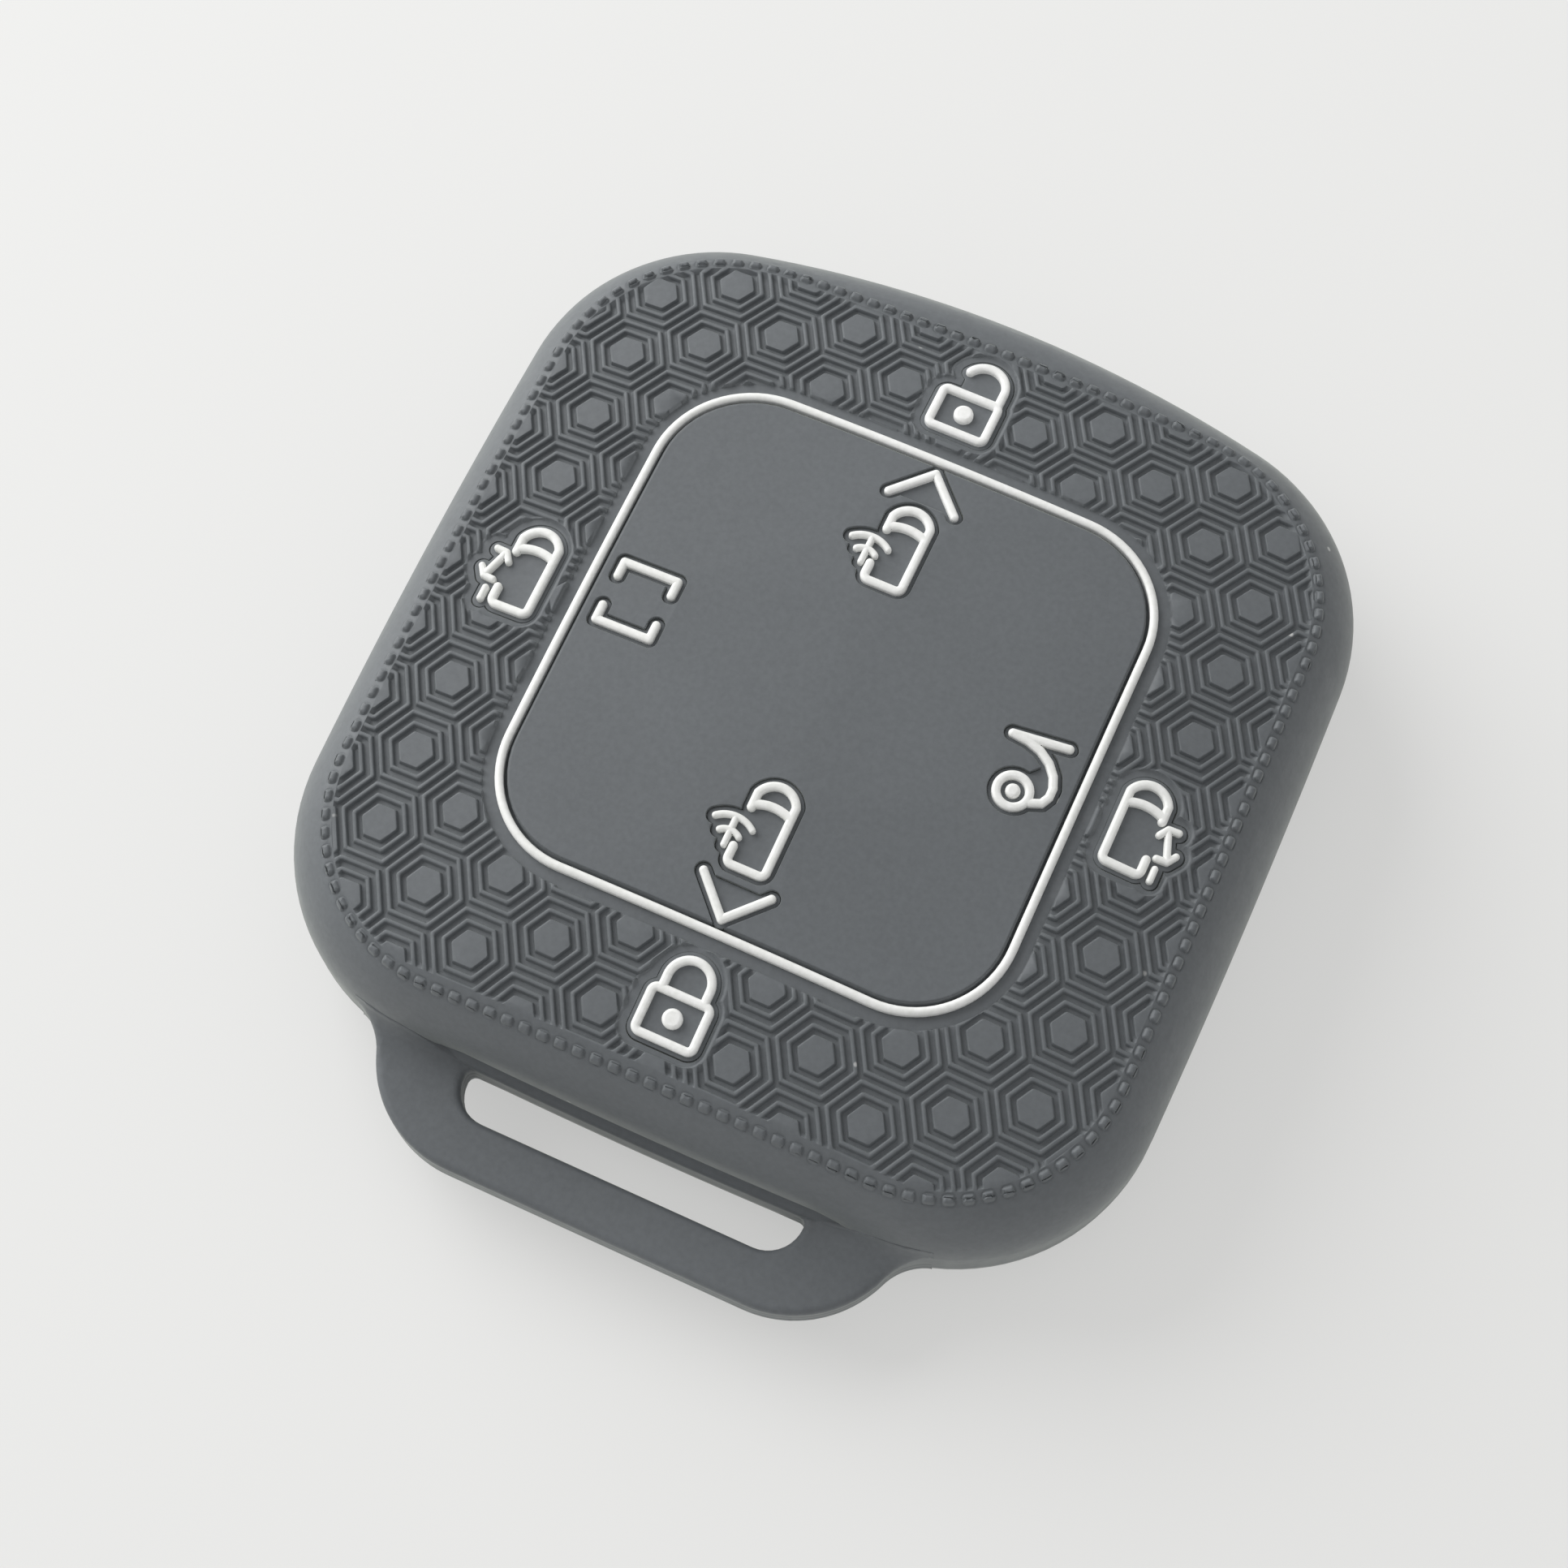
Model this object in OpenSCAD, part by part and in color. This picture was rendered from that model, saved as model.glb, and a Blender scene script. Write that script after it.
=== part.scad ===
// Silicone cover for a square car key. A dark moulding wraps the key and ends in a strap loop.
// White silicone marks stand in pockets, and the floor of each pocket can be pressed.
// The marks' places are measured from the middle of the face, +Y away from the strap loop, +Z out of the face.

/* [Cover body] */
// Width of the body across its two sides
cover_w = 61.9; // [60:0.1:64]
// Reach of the top side from the middle of the face
top_reach = 32.6; // [32:0.1:34]
// Reach of the strap side from the middle of the face
strap_reach = 31; // [30.6:0.1:32]
// Height from the resting rim to the top of the crowned face
cover_h = 16.5; // [15.5:0.1:18]
// Radius of the crowned face
face_r = 205; // [180:1:260]
// Bow of the left and right sides
side_bow = 0.22; // [0.12:0.02:0.6]
// Bow of the top side
top_bow = 1.45; // [0.8:0.05:2]
// Bow of the strap side
strap_bow = 0.3; // [0.2:0.02:1]
// Plan radius of the two top corners
top_corner_r = 14.2; // [13:0.1:15]
// Plan radius of the two corners beside the loop
strap_corner_r = 14.2; // [13:0.1:15]
// Width of the rounded shoulder around the face
shoulder_w = 4.2; // [3.6:0.1:4.6]
// Height at which the shoulder ends and the side wall stands upright
wall_top_h = 7; // [6.4:0.1:7.6]
// Height of the parting line
parting_h = 4.6; // [4:0.1:5]
// Width of the rounded heel between the parting line and the resting rim
heel_w = 3.2; // [2.4:0.1:3.6]

/* [Walls and key pocket] */
// Thickness of the face's skin
skin_t = 1.6; // [1.4:0.05:2]
// Thickness of the side wall
wall_t = 1.9; // [1.6:0.05:2.2]
// Thickness of the lip that holds the key in
lip_t = 1.7; // [1.4:0.05:2]
// Width of the back rim, from the outline to the mouth
rim_w = 8; // [7:0.1:9]

/* [Strap loop] */
// Length of the loop beyond the body's strap side
loop_reach = 6.55; // [6:0.05:7]
// Half the straight length of the loop's end bar
loop_half_flat = 10.7; // [10:0.1:11.5]
// Radius of the loop's outer corners
loop_corner_r = 8.3; // [7.8:0.1:9]
// Radius of the hollow where the loop's sides meet the body
loop_root_r = 4; // [2:0.1:5]
// Height of the loop's lower face over the resting rim
loop_base_h = 3.4; // [3:0.1:4]
// Thickness of the loop
loop_t = 3; // [2.4:0.1:3.4]
// Length of the strap slot
slot_l = 24.6; // [22:0.1:26]
// Width of the strap slot
slot_w = 3.05; // [2.8:0.05:3.4]
// Width of the bar between the slot and the loop's end
loop_bar_w = 3.65; // [3.2:0.05:4.2]
// Corner radius of the slot on the bar side
slot_outer_r = 2.5; // [1.6:0.1:2.5]
// Corner radius of the slot on the body side
slot_inner_r = 0.5; // [0.3:0.1:0.8]

/* [Panel ring] */
// Width of the border between the cover's left or right side and the middle of the ring
side_border_w = 13.05; // [12.75:0.05:13.45]
// Width of the border between the top side and the middle of the ring
top_border_w = 14.35; // [14.1:0.05:14.45]
// Width of the border between the strap side and the middle of the ring
strap_border_w = 12.75; // [12.5:0.05:12.85]
// Corner radius along the middle of the ring
ring_corner_r = 6.3; // [5:0.1:8]
// Width of the ring's bead
bead_w = 0.7; // [0.5:0.05:0.8]
// Height of the bead over the face
bead_rise = 0.22; // [0.1:0.02:0.3]
// Depth of the channel around the ring
channel_depth = 0.3; // [0.2:0.02:0.4]
// Width of the channel outside the bead
channel_outer_w = 1; // [0.6:0.05:1.2]
// Width of the groove inside the bead
channel_inner_w = 0.18; // [0.1:0.02:0.3]

/* [Marks and press pads] */
// Width of a mark's stroke
stroke_w = 0.6; // [0.5:0.02:0.66]
// Height of a mark over the face
mark_rise = 0.16; // [0.08:0.02:0.24]
// Depth of the pocket around a mark
pocket_depth = 0.3; // [0.2:0.02:0.4]
// Width of the pocket beside a stroke
pocket_margin = 0.3; // [0.25:0.01:0.34]
// Gap between a press pad and its pocket's wall
pad_gap = 0.12; // [0.08:0.01:0.16]
// Gap under a mark that stands on its pad
seat_gap = 0.03; // [0.02:0.01:0.06]
// Gap between a pad's boss and the skin above it
boss_gap = 0.25; // [0.2:0.01:0.35]
// Thickness of a pad's boss inside the key pocket
boss_t = 0.8; // [0.6:0.05:1]

/* [Padlock marks] */
// Width of a padlock along the middle of its strokes
lock_w = 4.05; // [3.8:0.05:4.3]
// Height of a padlock's case along the middle of its strokes
lock_h = 3.12; // [2.9:0.02:3.3]
// Radius of a padlock's shackle
shackle_r = 1.48; // [1.4:0.02:1.6]
// Height of the closed shackle's bend over the case
shackle_leg = 0.95; // [0.7:0.05:1]
// Height of the open shackle's bend over the case
open_shackle_leg = 1.15; // [1.1:0.05:1.3]
// Radius of the keyhole dot
keyhole_r = 0.68; // [0.5:0.02:0.8]
// Distance of a padlock's case from the panel ring
lock_ring_gap = 2.5; // [2.2:0.05:2.6]
// Distance of the closed padlock's shackle from the panel ring
shackle_ring_gap = 2.02; // [1.9:0.02:2.2]

/* [Car marks] */
// Width of a car along the middle of its strokes
car_w = 2.7; // [2.5:0.05:2.9]
// Length of a car along the middle of its strokes
car_l = 6; // [5.7:0.05:6.2]
// Distance from the middle of the ring's top side to the forward car's front
forward_ring_gap = 4.25; // [4.05:0.05:4.35]
// Distance from the middle of the ring's strap side to the reverse car's front
back_ring_gap = 10.6; // [10.25:0.05:10.85]
// Half the width of a direction chevron
chevron_half_w = 2.4; // [2.1:0.05:2.6]
// Height of a direction chevron
chevron_h = 2.5; // [2.2:0.05:2.6]
// Distance from a chevron's tip to the panel ring's middle
chevron_ring_gap = 1.05; // [0.98:0.01:1.2]
// Distance from a sliding door mark's car to the panel ring's middle
door_ring_gap = 2.75; // [2.65:0.05:2.9]
// Distance from the middle of the face up to a door mark's car front
door_front_y = 2.7; // [2.4:0.05:3]
// Radius of the outer arc of a remote mark
wave_r = 2.05; // [1.9:0.05:2.1]
// Distance of the cars and chevrons to the right of the face's middle line
car_shift = 0.17; // [0:0.01:0.3]

/* [Parking bay mark] */
// Width of the bay mark along the middle of its strokes
bay_w = 3.95; // [3.7:0.05:4.2]
// Height of the bay mark along the middle of its strokes
bay_h = 4.5; // [4.2:0.05:4.8]
// Length of a bay mark's legs
bay_leg = 1.1; // [0.9:0.05:1.3]
// Distance from the bay mark to the panel ring's middle
bay_ring_gap = 1.7; // [1.6:0.05:2]
// Height of the bay mark's middle over the middle of the face
bay_y = 0.5; // [0:0.05:1]

/* [Tailgate mark] */
// Radius of the tailgate mark's wheel
wheel_r = 1.1; // [1:0.02:1.2]
// Radius of the wheel's hub dot
hub_r = 0.5; // [0.4:0.02:0.5]
// Height of the tailgate mark over its wheel's middle
gate_h = 4.2; // [4:0.05:4.4]
// Distance from the wheel's middle to the panel ring's middle
wheel_ring_gap = 4.15; // [4:0.05:4.3]
// Distance of the wheel's middle below the middle of the face
wheel_drop = 1.6; // [1.4:0.05:1.8]

/* [Hidden] */
$fn = 48;

overrun = cover_h / 8;
// Sides of a stroke's rounded end
cap_sides = 12;
// The cover's box is centred on the origin, so the middle of the face lies off it
face_y = (strap_reach + loop_reach - top_reach) / 2;
loop_end = strap_reach + loop_reach;
slot_near = loop_end - loop_bar_w;
slot_far = slot_near - slot_w;
ring_w = cover_w - 2 * side_border_w;
ring_top = top_reach - top_border_w;
ring_low = strap_border_w - strap_reach;

// Steps along half a side, round a corner, and up the heel and the shoulder
side_steps = 4;
corner_steps = 8;
heel_steps = 4;
shoulder_steps = 5;
crease_rise = shoulder_w / 32;
cap_inset_share = 0.75;
inner_shoulder_share = 0.8;

// Plan of the cover: each quarter is a side arc, a corner arc and an end arc that meet smoothly
function arc_r(half_chord, bow) = (half_chord ^ 2 + bow ^ 2) / (2 * bow);
function dir(angle) = [cos(angle), sin(angle)];
function quarter(half_w, reach, bow_w, bow_l, r) =
    let (
        r_w = arc_r(reach - r, bow_w),
        r_l = arc_r(half_w - r, bow_l),
        c_w = [half_w - r_w, 0],
        c_l = [0, reach - r_l],
        d = norm(c_l - c_w),
        u = (c_l - c_w) / d,
        t = ((r_w - r) ^ 2 - (r_l - r) ^ 2 + d ^ 2) / (2 * d),
        h = sqrt((r_w - r) ^ 2 - t ^ 2),
        c = c_w + t * u + h * [-u[1], u[0]]
    )
    [c_w, c, c_l, r_w, r, r_l, atan2(c[1], c[0] - c_w[0]), atan2(c[1] - c_l[1], c[0])];
function arc_points(c, r, from, to, steps) =
    [for (i = [0:steps - 1]) c + r * dir(from + (to - from) * i / steps)];
function quarter_points(q, inset) = concat(
    arc_points(q[0], q[3] - inset, 0, q[6], side_steps),
    arc_points(q[1], q[4] - inset, q[6], q[7], corner_steps),
    arc_points(q[2], q[5] - inset, q[7], 90, side_steps),
    [q[2] + [0, q[5] - inset]]
);
top_quarter = quarter(cover_w / 2, top_reach, side_bow, top_bow, top_corner_r);
strap_quarter = quarter(cover_w / 2, strap_reach, side_bow, strap_bow, strap_corner_r);
quarter_n = 2 * side_steps + corner_steps;
function plan(inset) =
    let (t = quarter_points(top_quarter, inset), s = quarter_points(strap_quarter, inset))
    concat(
        [for (i = [0:quarter_n - 1]) t[i]],
        [for (i = [0:quarter_n - 1]) [-t[quarter_n - i][0], t[quarter_n - i][1]]],
        [for (i = [0:quarter_n - 1]) -s[i]],
        [for (i = [0:quarter_n - 1]) [s[quarter_n - i][0], -s[quarter_n - i][1]]]
    );

// Height of the crowned face, or of a surface that lies a depth below it
function face_z(p, depth) = cover_h - face_r + sqrt((face_r - depth) ^ 2 - p[0] ^ 2 - p[1] ^ 2);
function level(inset, z) = [for (p = plan(inset)) [p[0], p[1], z]];
function shoulder_level(wall, width, depth, angle) =
    [for (p = plan(wall + width * (1 - cos(angle))))
        [p[0], p[1], wall_top_h + (face_z(p, depth) + crease_rise - wall_top_h) * sin(angle)]];

// A closed solid through rings of points that lie above each other
module lofted(rings) {
    n = len(rings[0]);
    m = len(rings);
    polyhedron(
        points = [for (ring = rings) for (p = ring) p],
        faces = concat(
            [[for (i = [0:n - 1]) i]],
            [for (k = [0:m - 2]) for (i = [0:n - 1]) [k * n + i, (k + 1) * n + i, (k + 1) * n + (i + 1) % n]],
            [for (k = [0:m - 2]) for (i = [0:n - 1]) [k * n + i, (k + 1) * n + (i + 1) % n, k * n + (i + 1) % n]],
            [[for (i = [n - 1:-1:0]) (m - 1) * n + i]]
        )
    );
}

// Everything that lies deeper than a depth below the crowned face
module under_face(depth) {
    translate([0, 0, cover_h - face_r]) sphere(r = face_r - depth, $fn = 256);
}

// Places a mark's drawing on the crowned face, square to it, about the point [x, y]
module on_face(x, y) {
    lift = face_z([x, y], 0);
    tilt = acos((lift - cover_h + face_r) / face_r);
    translate([x, y + face_y, lift]) rotate(a = tilt, v = [-y, x, 0]) children();
}

// A flat drawing given thickness between two depths
module sunk(top, bottom) {
    translate([0, 0, -bottom]) linear_extrude(height = bottom - top) children();
}

// Flat drawings
module bar(a, b, w) {
    translate(a) rotate(atan2(b[1] - a[1], b[0] - a[0])) translate([0, -w / 2]) square([norm(b - a), w]);
}
module stroke(points, w) {
    for (i = [0:len(points) - 2]) bar(points[i], points[i + 1], w);
    for (p = points) translate(p) circle(d = w, $fn = cap_sides);
}
sector_turn = 60;
module sector(r, from, to) {
    steps = ceil((to - from) / sector_turn);
    polygon(concat([[0, 0]], [for (i = [0:steps]) 2 * r * dir(from + (to - from) * i / steps)]));
}
module arc_stroke(r, from, to, w) {
    intersection() {
        difference() {
            circle(r = r + w / 2);
            circle(r = r - w / 2);
        }
        sector(r + w, from, to);
    }
    translate(r * dir(from)) circle(d = w, $fn = cap_sides);
    translate(r * dir(to)) circle(d = w, $fn = cap_sides);
}
module soft_rectangle(w, l, r) {
    square([w - 2 * r, l], center = true);
    square([w, l - 2 * r], center = true);
    for (x = [-1, 1], y = [-1, 1]) translate([x * (w / 2 - r), y * (l / 2 - r)]) circle(r = r);
}

// Padlocks, drawn about the middle of the case
module padlock_case(w) {
    x = lock_w / 2;
    y = lock_h / 2;
    stroke([[-x, -y], [x, -y], [x, y], [-x, y], [-x, -y]], w);
}
module closed_shackle(w) {
    y = lock_h / 2 + shackle_leg;
    translate([0, y]) arc_stroke(shackle_r, 0, 180, w);
    for (x = [-shackle_r, shackle_r]) bar([x, lock_h / 2], [x, y], w);
}
open_turn = 152;
module open_shackle(w) {
    y = lock_h / 2 + open_shackle_leg;
    x = lock_w / 2 - shackle_r - stroke_w / 4;
    translate([x, y]) arc_stroke(shackle_r, 0, open_turn, w);
    bar([x + shackle_r, lock_h / 2], [x + shackle_r, y], w);
}
module keyhole() {
    circle(r = keyhole_r);
}
module padlock_fill() {
    square([lock_w, lock_h], center = true);
}

// A car seen from above, drawn about the middle of its front, with its length along -Y
front_share = 0.34;
glass_share = 0.24;
tail_stub_share = 0.2;
side_stub_share = 0.33;
front_bow = car_w * front_share;
front_arc_r = arc_r(car_w / 2, front_bow);
front_half_angle = asin(car_w / 2 / front_arc_r);
glass_bow = car_w * glass_share / 2;
glass_arc_r = arc_r(car_w / 2, glass_bow);
glass_half_angle = asin(car_w / 2 / glass_arc_r);
glass_y = -car_l * glass_share;
module car(w) {
    x = car_w / 2;
    translate([0, -front_arc_r]) arc_stroke(front_arc_r, 90 - front_half_angle, 90 + front_half_angle, w);
    translate([0, glass_y - glass_arc_r])
        arc_stroke(glass_arc_r, 90 - glass_half_angle, 90 + glass_half_angle, w);
    stroke([[-x, -front_bow], [-x, -car_l * side_stub_share]], w);
    stroke([[-x, -car_l * (1 - tail_stub_share)], [-x, -car_l], [x, -car_l], [x, -front_bow]], w);
}
module car_fill() {
    x = car_w / 2;
    polygon(concat(
        [[x, -front_bow], [x, -car_l], [-x, -car_l], [-x, -front_bow]],
        [for (p = arc_points([0, -front_arc_r], front_arc_r, 90 + front_half_angle, 90 - front_half_angle,
                corner_steps))
            if (p[1] > -front_bow) p]
    ));
}

// A chevron, drawn about its tip with its arms along -Y
module chevron(w) {
    stroke([[-chevron_half_w, -chevron_h], [0, 0], [chevron_half_w, -chevron_h]], w);
}
module chevron_fill() {
    polygon([[-chevron_half_w, -chevron_h], [0, 0], [chevron_half_w, -chevron_h]]);
}

// A mast with two arcs for the remote drive, drawn about the mast's foot
wave_turn = 80;
wave_start = 50;
wave_share = 0.52;
wave_stroke_share = 0.75;
module waves(w) {
    thin = w - stroke_w * (1 - wave_stroke_share);
    for (r = [wave_r, wave_r * wave_share]) arc_stroke(r, wave_start, wave_start + wave_turn, thin);
    stroke([[0, 0], [0, wave_r]], thin);
}
module waves_fill() {
    polygon(concat([[0, 0]], arc_points([0, 0], wave_r, wave_start, wave_start + wave_turn, side_steps)));
}

// A double arrow and a sill beside a car whose door slides, drawn about the car's front
arrow_top_shares = [-0.71, -0.38];
arrow_low_shares = [-0.98, -0.73];
arrow_arm_share = 0.27;
arrow_stroke_share = 0.8;
sill_shares = [[-0.78, -0.86], [-0.78, -1.0]];
arrow_turns = [176, -56];
function place(shares) = [shares[0] * car_w, shares[1] * car_l];
module arrow(w) {
    a = place(arrow_top_shares);
    b = place(arrow_low_shares);
    arm = car_w * arrow_arm_share;
    stroke([a + arm * dir(arrow_turns[0]), a, a + arm * dir(arrow_turns[1])], w);
    stroke([b - arm * dir(arrow_turns[0]), b, b - arm * dir(arrow_turns[1])], w);
    stroke([a, b], w);
}
module sill(w) {
    stroke([for (p = sill_shares) place(p)], w);
}
module arrow_fill() {
    a = place(arrow_top_shares);
    c = place(sill_shares[1]);
    polygon([[0, a[1]], a, place(arrow_low_shares), c, [0, c[1]]]);
}

// Two facing brackets around the bay's middle
module bay_bracket(w) {
    x = bay_w / 2;
    y = bay_h / 2;
    stroke([[-x, y - bay_leg], [-x, y], [x, y], [x, y - bay_leg]], w);
}

// A raised tailgate: a hook from the wheel up to the hinge, and the open gate, drawn about the wheel
hook_shares = [
    [0.31, -0.07], [0.48, 0.0], [0.55, 0.14], [0.55, 0.3], [0.48, 0.48],
    [0.34, 0.65], [0.14, 0.78], [-0.1, 0.85], [-0.37, 0.87]
];
gate_end_shares = [0.54, 1.0];
module hook(w) {
    difference() {
        circle(r = wheel_r + w / 2);
        circle(r = max(0, wheel_r - w / 2));
    }
    stroke([for (p = hook_shares) p * gate_h], w);
    stroke([hook_shares[len(hook_shares) - 1] * gate_h, gate_end_shares * gate_h], w);
}
module hook_fill() {
    circle(r = wheel_r);
    polygon(concat([[0, wheel_r]], [for (i = [0:5]) hook_shares[i] * gate_h]));
}

// Where the marks stand, from the middle of the face
unlock_at = [0, ring_top + lock_ring_gap + lock_h / 2];
lock_at = [0, ring_low - shackle_ring_gap - shackle_r - shackle_leg - lock_h / 2];
forward_at = [car_shift, ring_top - forward_ring_gap];
back_at = [car_shift, ring_low + back_ring_gap];
forward_tip = [car_shift, ring_top - chevron_ring_gap];
back_tip = [car_shift, ring_low + chevron_ring_gap];
left_door_at = [-(ring_w / 2 + door_ring_gap + car_w / 2), door_front_y];
bay_at = [-(ring_w / 2 - bay_ring_gap - bay_w / 2), bay_y];
wheel_at = [ring_w / 2 - wheel_ring_gap, -wheel_drop];
// The forward and reverse marks stand on flats that touch the face half way along them
forward_mid = [0, (forward_tip[1] + forward_at[1] - car_l) / 2];
back_mid = [0, (back_tip[1] + back_at[1]) / 2];
wave_x_share = 0.72;
wave_y_share = 0.83;
wave_at = [-car_w * wave_x_share, -car_l * wave_y_share];
pocket_w = stroke_w + 2 * pocket_margin;
plug_w = pocket_w - 2 * pad_gap;

// Each key's drawing, about its own middle. Marks, pockets and pads share it, at their own stroke width
module unlock_key(w) {
    padlock_case(w);
    open_shackle(w);
    padlock_fill();
    translate([lock_w / 2 - shackle_r - stroke_w / 4, lock_h / 2 + open_shackle_leg]) circle(r = shackle_r);
}
module lock_key(w) {
    padlock_case(w);
    closed_shackle(w);
    padlock_fill();
    translate([0, lock_h / 2 + shackle_leg]) circle(r = shackle_r);
    translate([-shackle_r, lock_h / 2]) square([2 * shackle_r, shackle_leg]);
}
module forward_key(w) {
    translate(forward_at - forward_mid) {
        car(w);
        car_fill();
        translate(wave_at) waves(w);
        translate(wave_at) waves_fill();
    }
    translate(forward_tip - forward_mid) chevron(w);
    translate(forward_tip - forward_mid) chevron_fill();
}
module back_key(w) {
    translate(back_at - back_mid) {
        car(w);
        car_fill();
        translate(wave_at) waves(w);
        translate(wave_at) waves_fill();
    }
    translate(back_tip - back_mid) mirror([0, 1]) chevron(w);
    translate(back_tip - back_mid) mirror([0, 1]) chevron_fill();
}
door_mid = [left_door_at[0] - car_w / 4, left_door_at[1] - car_l / 2];
module left_door_key(w) {
    translate(left_door_at - door_mid) {
        car(w);
        car_fill();
        arrow(w);
        sill(w);
        arrow_fill();
    }
}
module bay_key(w) {
    bay_bracket(w);
    mirror([0, 1]) bay_bracket(w);
}
gate_mid = [wheel_at[0], wheel_at[1] + gate_h / 2];
module tailgate_key(w) {
    translate(wheel_at - gate_mid) {
        hook(w);
        hook_fill();
    }
}

// Cuts a key's pocket right through the skin, and makes the pad that fills it from below. The pad's boss
// is a plate that keeps clear of the shell's walls and shoulder
module pocket() {
    sunk(-overrun, skin_t + overrun) children();
}
module pad(at, box_low, box_high) {
    floor = skin_t + boss_gap;
    on_face(at[0], at[1]) sunk(pocket_depth, floor + boss_t / 2) children();
    intersection() {
        on_face(at[0], at[1]) sunk(floor, floor + boss_t) translate((box_low + box_high) / 2)
            soft_rectangle(box_high[0] - box_low[0], box_high[1] - box_low[1], pocket_w / 2);
        translate([0, face_y, 0]) pocket_room(wall_t + boss_gap);
    }
}
module mark() {
    sunk(-mark_rise, pocket_depth - seat_gap) children();
}

// The loop's flat plate, its slot and the hollow above the slot
module loop_plate() {
    x = loop_half_flat;
    y = loop_end - loop_corner_r;
    half_w = x + loop_corner_r;
    difference() {
        union() {
            translate([-x, -loop_end]) square([2 * x, loop_end - strap_reach + rim_w / 2]);
            for (side = [-1, 1]) translate([side * x, -y]) circle(r = loop_corner_r);
            translate([-half_w, -y]) square([2 * half_w, y - strap_reach + rim_w / 2]);
            loop_root();
            mirror([1, 0]) loop_root();
        }
        slot();
    }
}
// The root blends the loop's side into the body's corner with a hollow arc
root_c = let (
        a = [loop_half_flat, -loop_end + loop_corner_r],
        b = [strap_quarter[1][0], -strap_quarter[1][1]],
        ra = loop_corner_r + loop_root_r,
        rb = strap_corner_r + loop_root_r,
        d = norm(b - a),
        u = (b - a) / d,
        t = (ra ^ 2 - rb ^ 2 + d ^ 2) / (2 * d),
        h = sqrt(ra ^ 2 - t ^ 2)
    ) a + t * u + h * [u[1], -u[0]];
module loop_root() {
    a = [loop_half_flat, -loop_end + loop_corner_r];
    b = [strap_quarter[1][0], -strap_quarter[1][1]];
    difference() {
        polygon([a, root_c, b]);
        translate(root_c) circle(r = loop_root_r);
    }
}
module slot_half(r) {
    for (side = [-1, 1]) translate([side * (slot_l / 2 - r), r]) circle(r = r);
    translate([-slot_l / 2 + r, 0]) square([slot_l - 2 * r, 2 * slot_w]);
    translate([-slot_l / 2, r]) square([slot_l, 2 * slot_w - r]);
}
module slot() {
    intersection() {
        translate([0, -slot_near]) slot_half(slot_outer_r);
        translate([0, -slot_far]) mirror([0, 1]) slot_half(slot_inner_r);
    }
}

module body_outside() {
    intersection() {
        lofted(concat(
            [for (i = [0:heel_steps])
                let (t = 90 * i / heel_steps) level(heel_w * (1 - sin(t)), parting_h * (1 - cos(t)))],
            [level(0, wall_top_h)],
            [for (i = [1:shoulder_steps]) shoulder_level(0, shoulder_w, 0, 90 * i / shoulder_steps)],
            [level(top_corner_r * cap_inset_share, cover_h + crease_rise)]
        ));
        under_face(0);
    }
}
// The space inside a wall of some thickness, before the crowned skin cuts it off
module pocket_room(wall) {
    inner_w = shoulder_w * inner_shoulder_share;
    lofted(concat(
        [level(wall + lip_t / 2, lip_t), level(wall, 2 * lip_t), level(wall, wall_top_h)],
        [for (i = [1:shoulder_steps]) shoulder_level(wall, inner_w, skin_t, 90 * i / shoulder_steps)],
        [level(top_corner_r * cap_inset_share, cover_h - skin_t + crease_rise)]
    ));
}
module key_pocket() {
    intersection() {
        pocket_room(wall_t);
        under_face(skin_t);
    }
}

module cover_shell() {
    color("#5b5e63") difference() {
        translate([0, face_y, 0]) difference() {
            union() {
                body_outside();
                translate([0, 0, loop_base_h]) linear_extrude(height = loop_t) loop_plate();
            }
            key_pocket();
            translate([0, 0, -overrun]) linear_extrude(height = lip_t + 2 * overrun) polygon(plan(rim_w));
            translate([0, 0, loop_base_h - overrun]) linear_extrude(height = cover_h) slot();
            difference() {
                translate([0, 0, wall_top_h]) linear_extrude(height = cover_h) difference() {
                    ring_plan(bead_w / 2 + channel_outer_w);
                    ring_plan(-bead_w / 2 - channel_inner_w);
                }
                under_face(channel_depth);
            }
        }
        on_face(unlock_at[0], unlock_at[1]) pocket() unlock_key(pocket_w);
        on_face(lock_at[0], lock_at[1]) pocket() lock_key(pocket_w);
        on_face(forward_mid[0], forward_mid[1]) pocket() forward_key(pocket_w);
        on_face(back_mid[0], back_mid[1]) pocket() back_key(pocket_w);
        on_face(door_mid[0], door_mid[1]) pocket() left_door_key(pocket_w);
        on_face(-door_mid[0], door_mid[1]) pocket() mirror([1, 0]) left_door_key(pocket_w);
        on_face(bay_at[0], bay_at[1]) pocket() bay_key(pocket_w);
        on_face(gate_mid[0], gate_mid[1]) pocket() tailgate_key(pocket_w);
    }
}

// A rounded rectangle that lies a distance outside the ring's middle line
module ring_plan(out) {
    translate([0, (ring_top + ring_low) / 2])
        soft_rectangle(ring_w + 2 * out, ring_top - ring_low + 2 * out, ring_corner_r + out);
}
module panel_ring() {
    color("#f0f1ee") translate([0, face_y, 0]) intersection() {
        translate([0, 0, wall_top_h]) linear_extrude(height = cover_h) difference() {
            ring_plan(bead_w / 2);
            ring_plan(-bead_w / 2);
        }
        difference() {
            under_face(-bead_rise);
            under_face(channel_depth - seat_gap);
        }
    }
}

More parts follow.
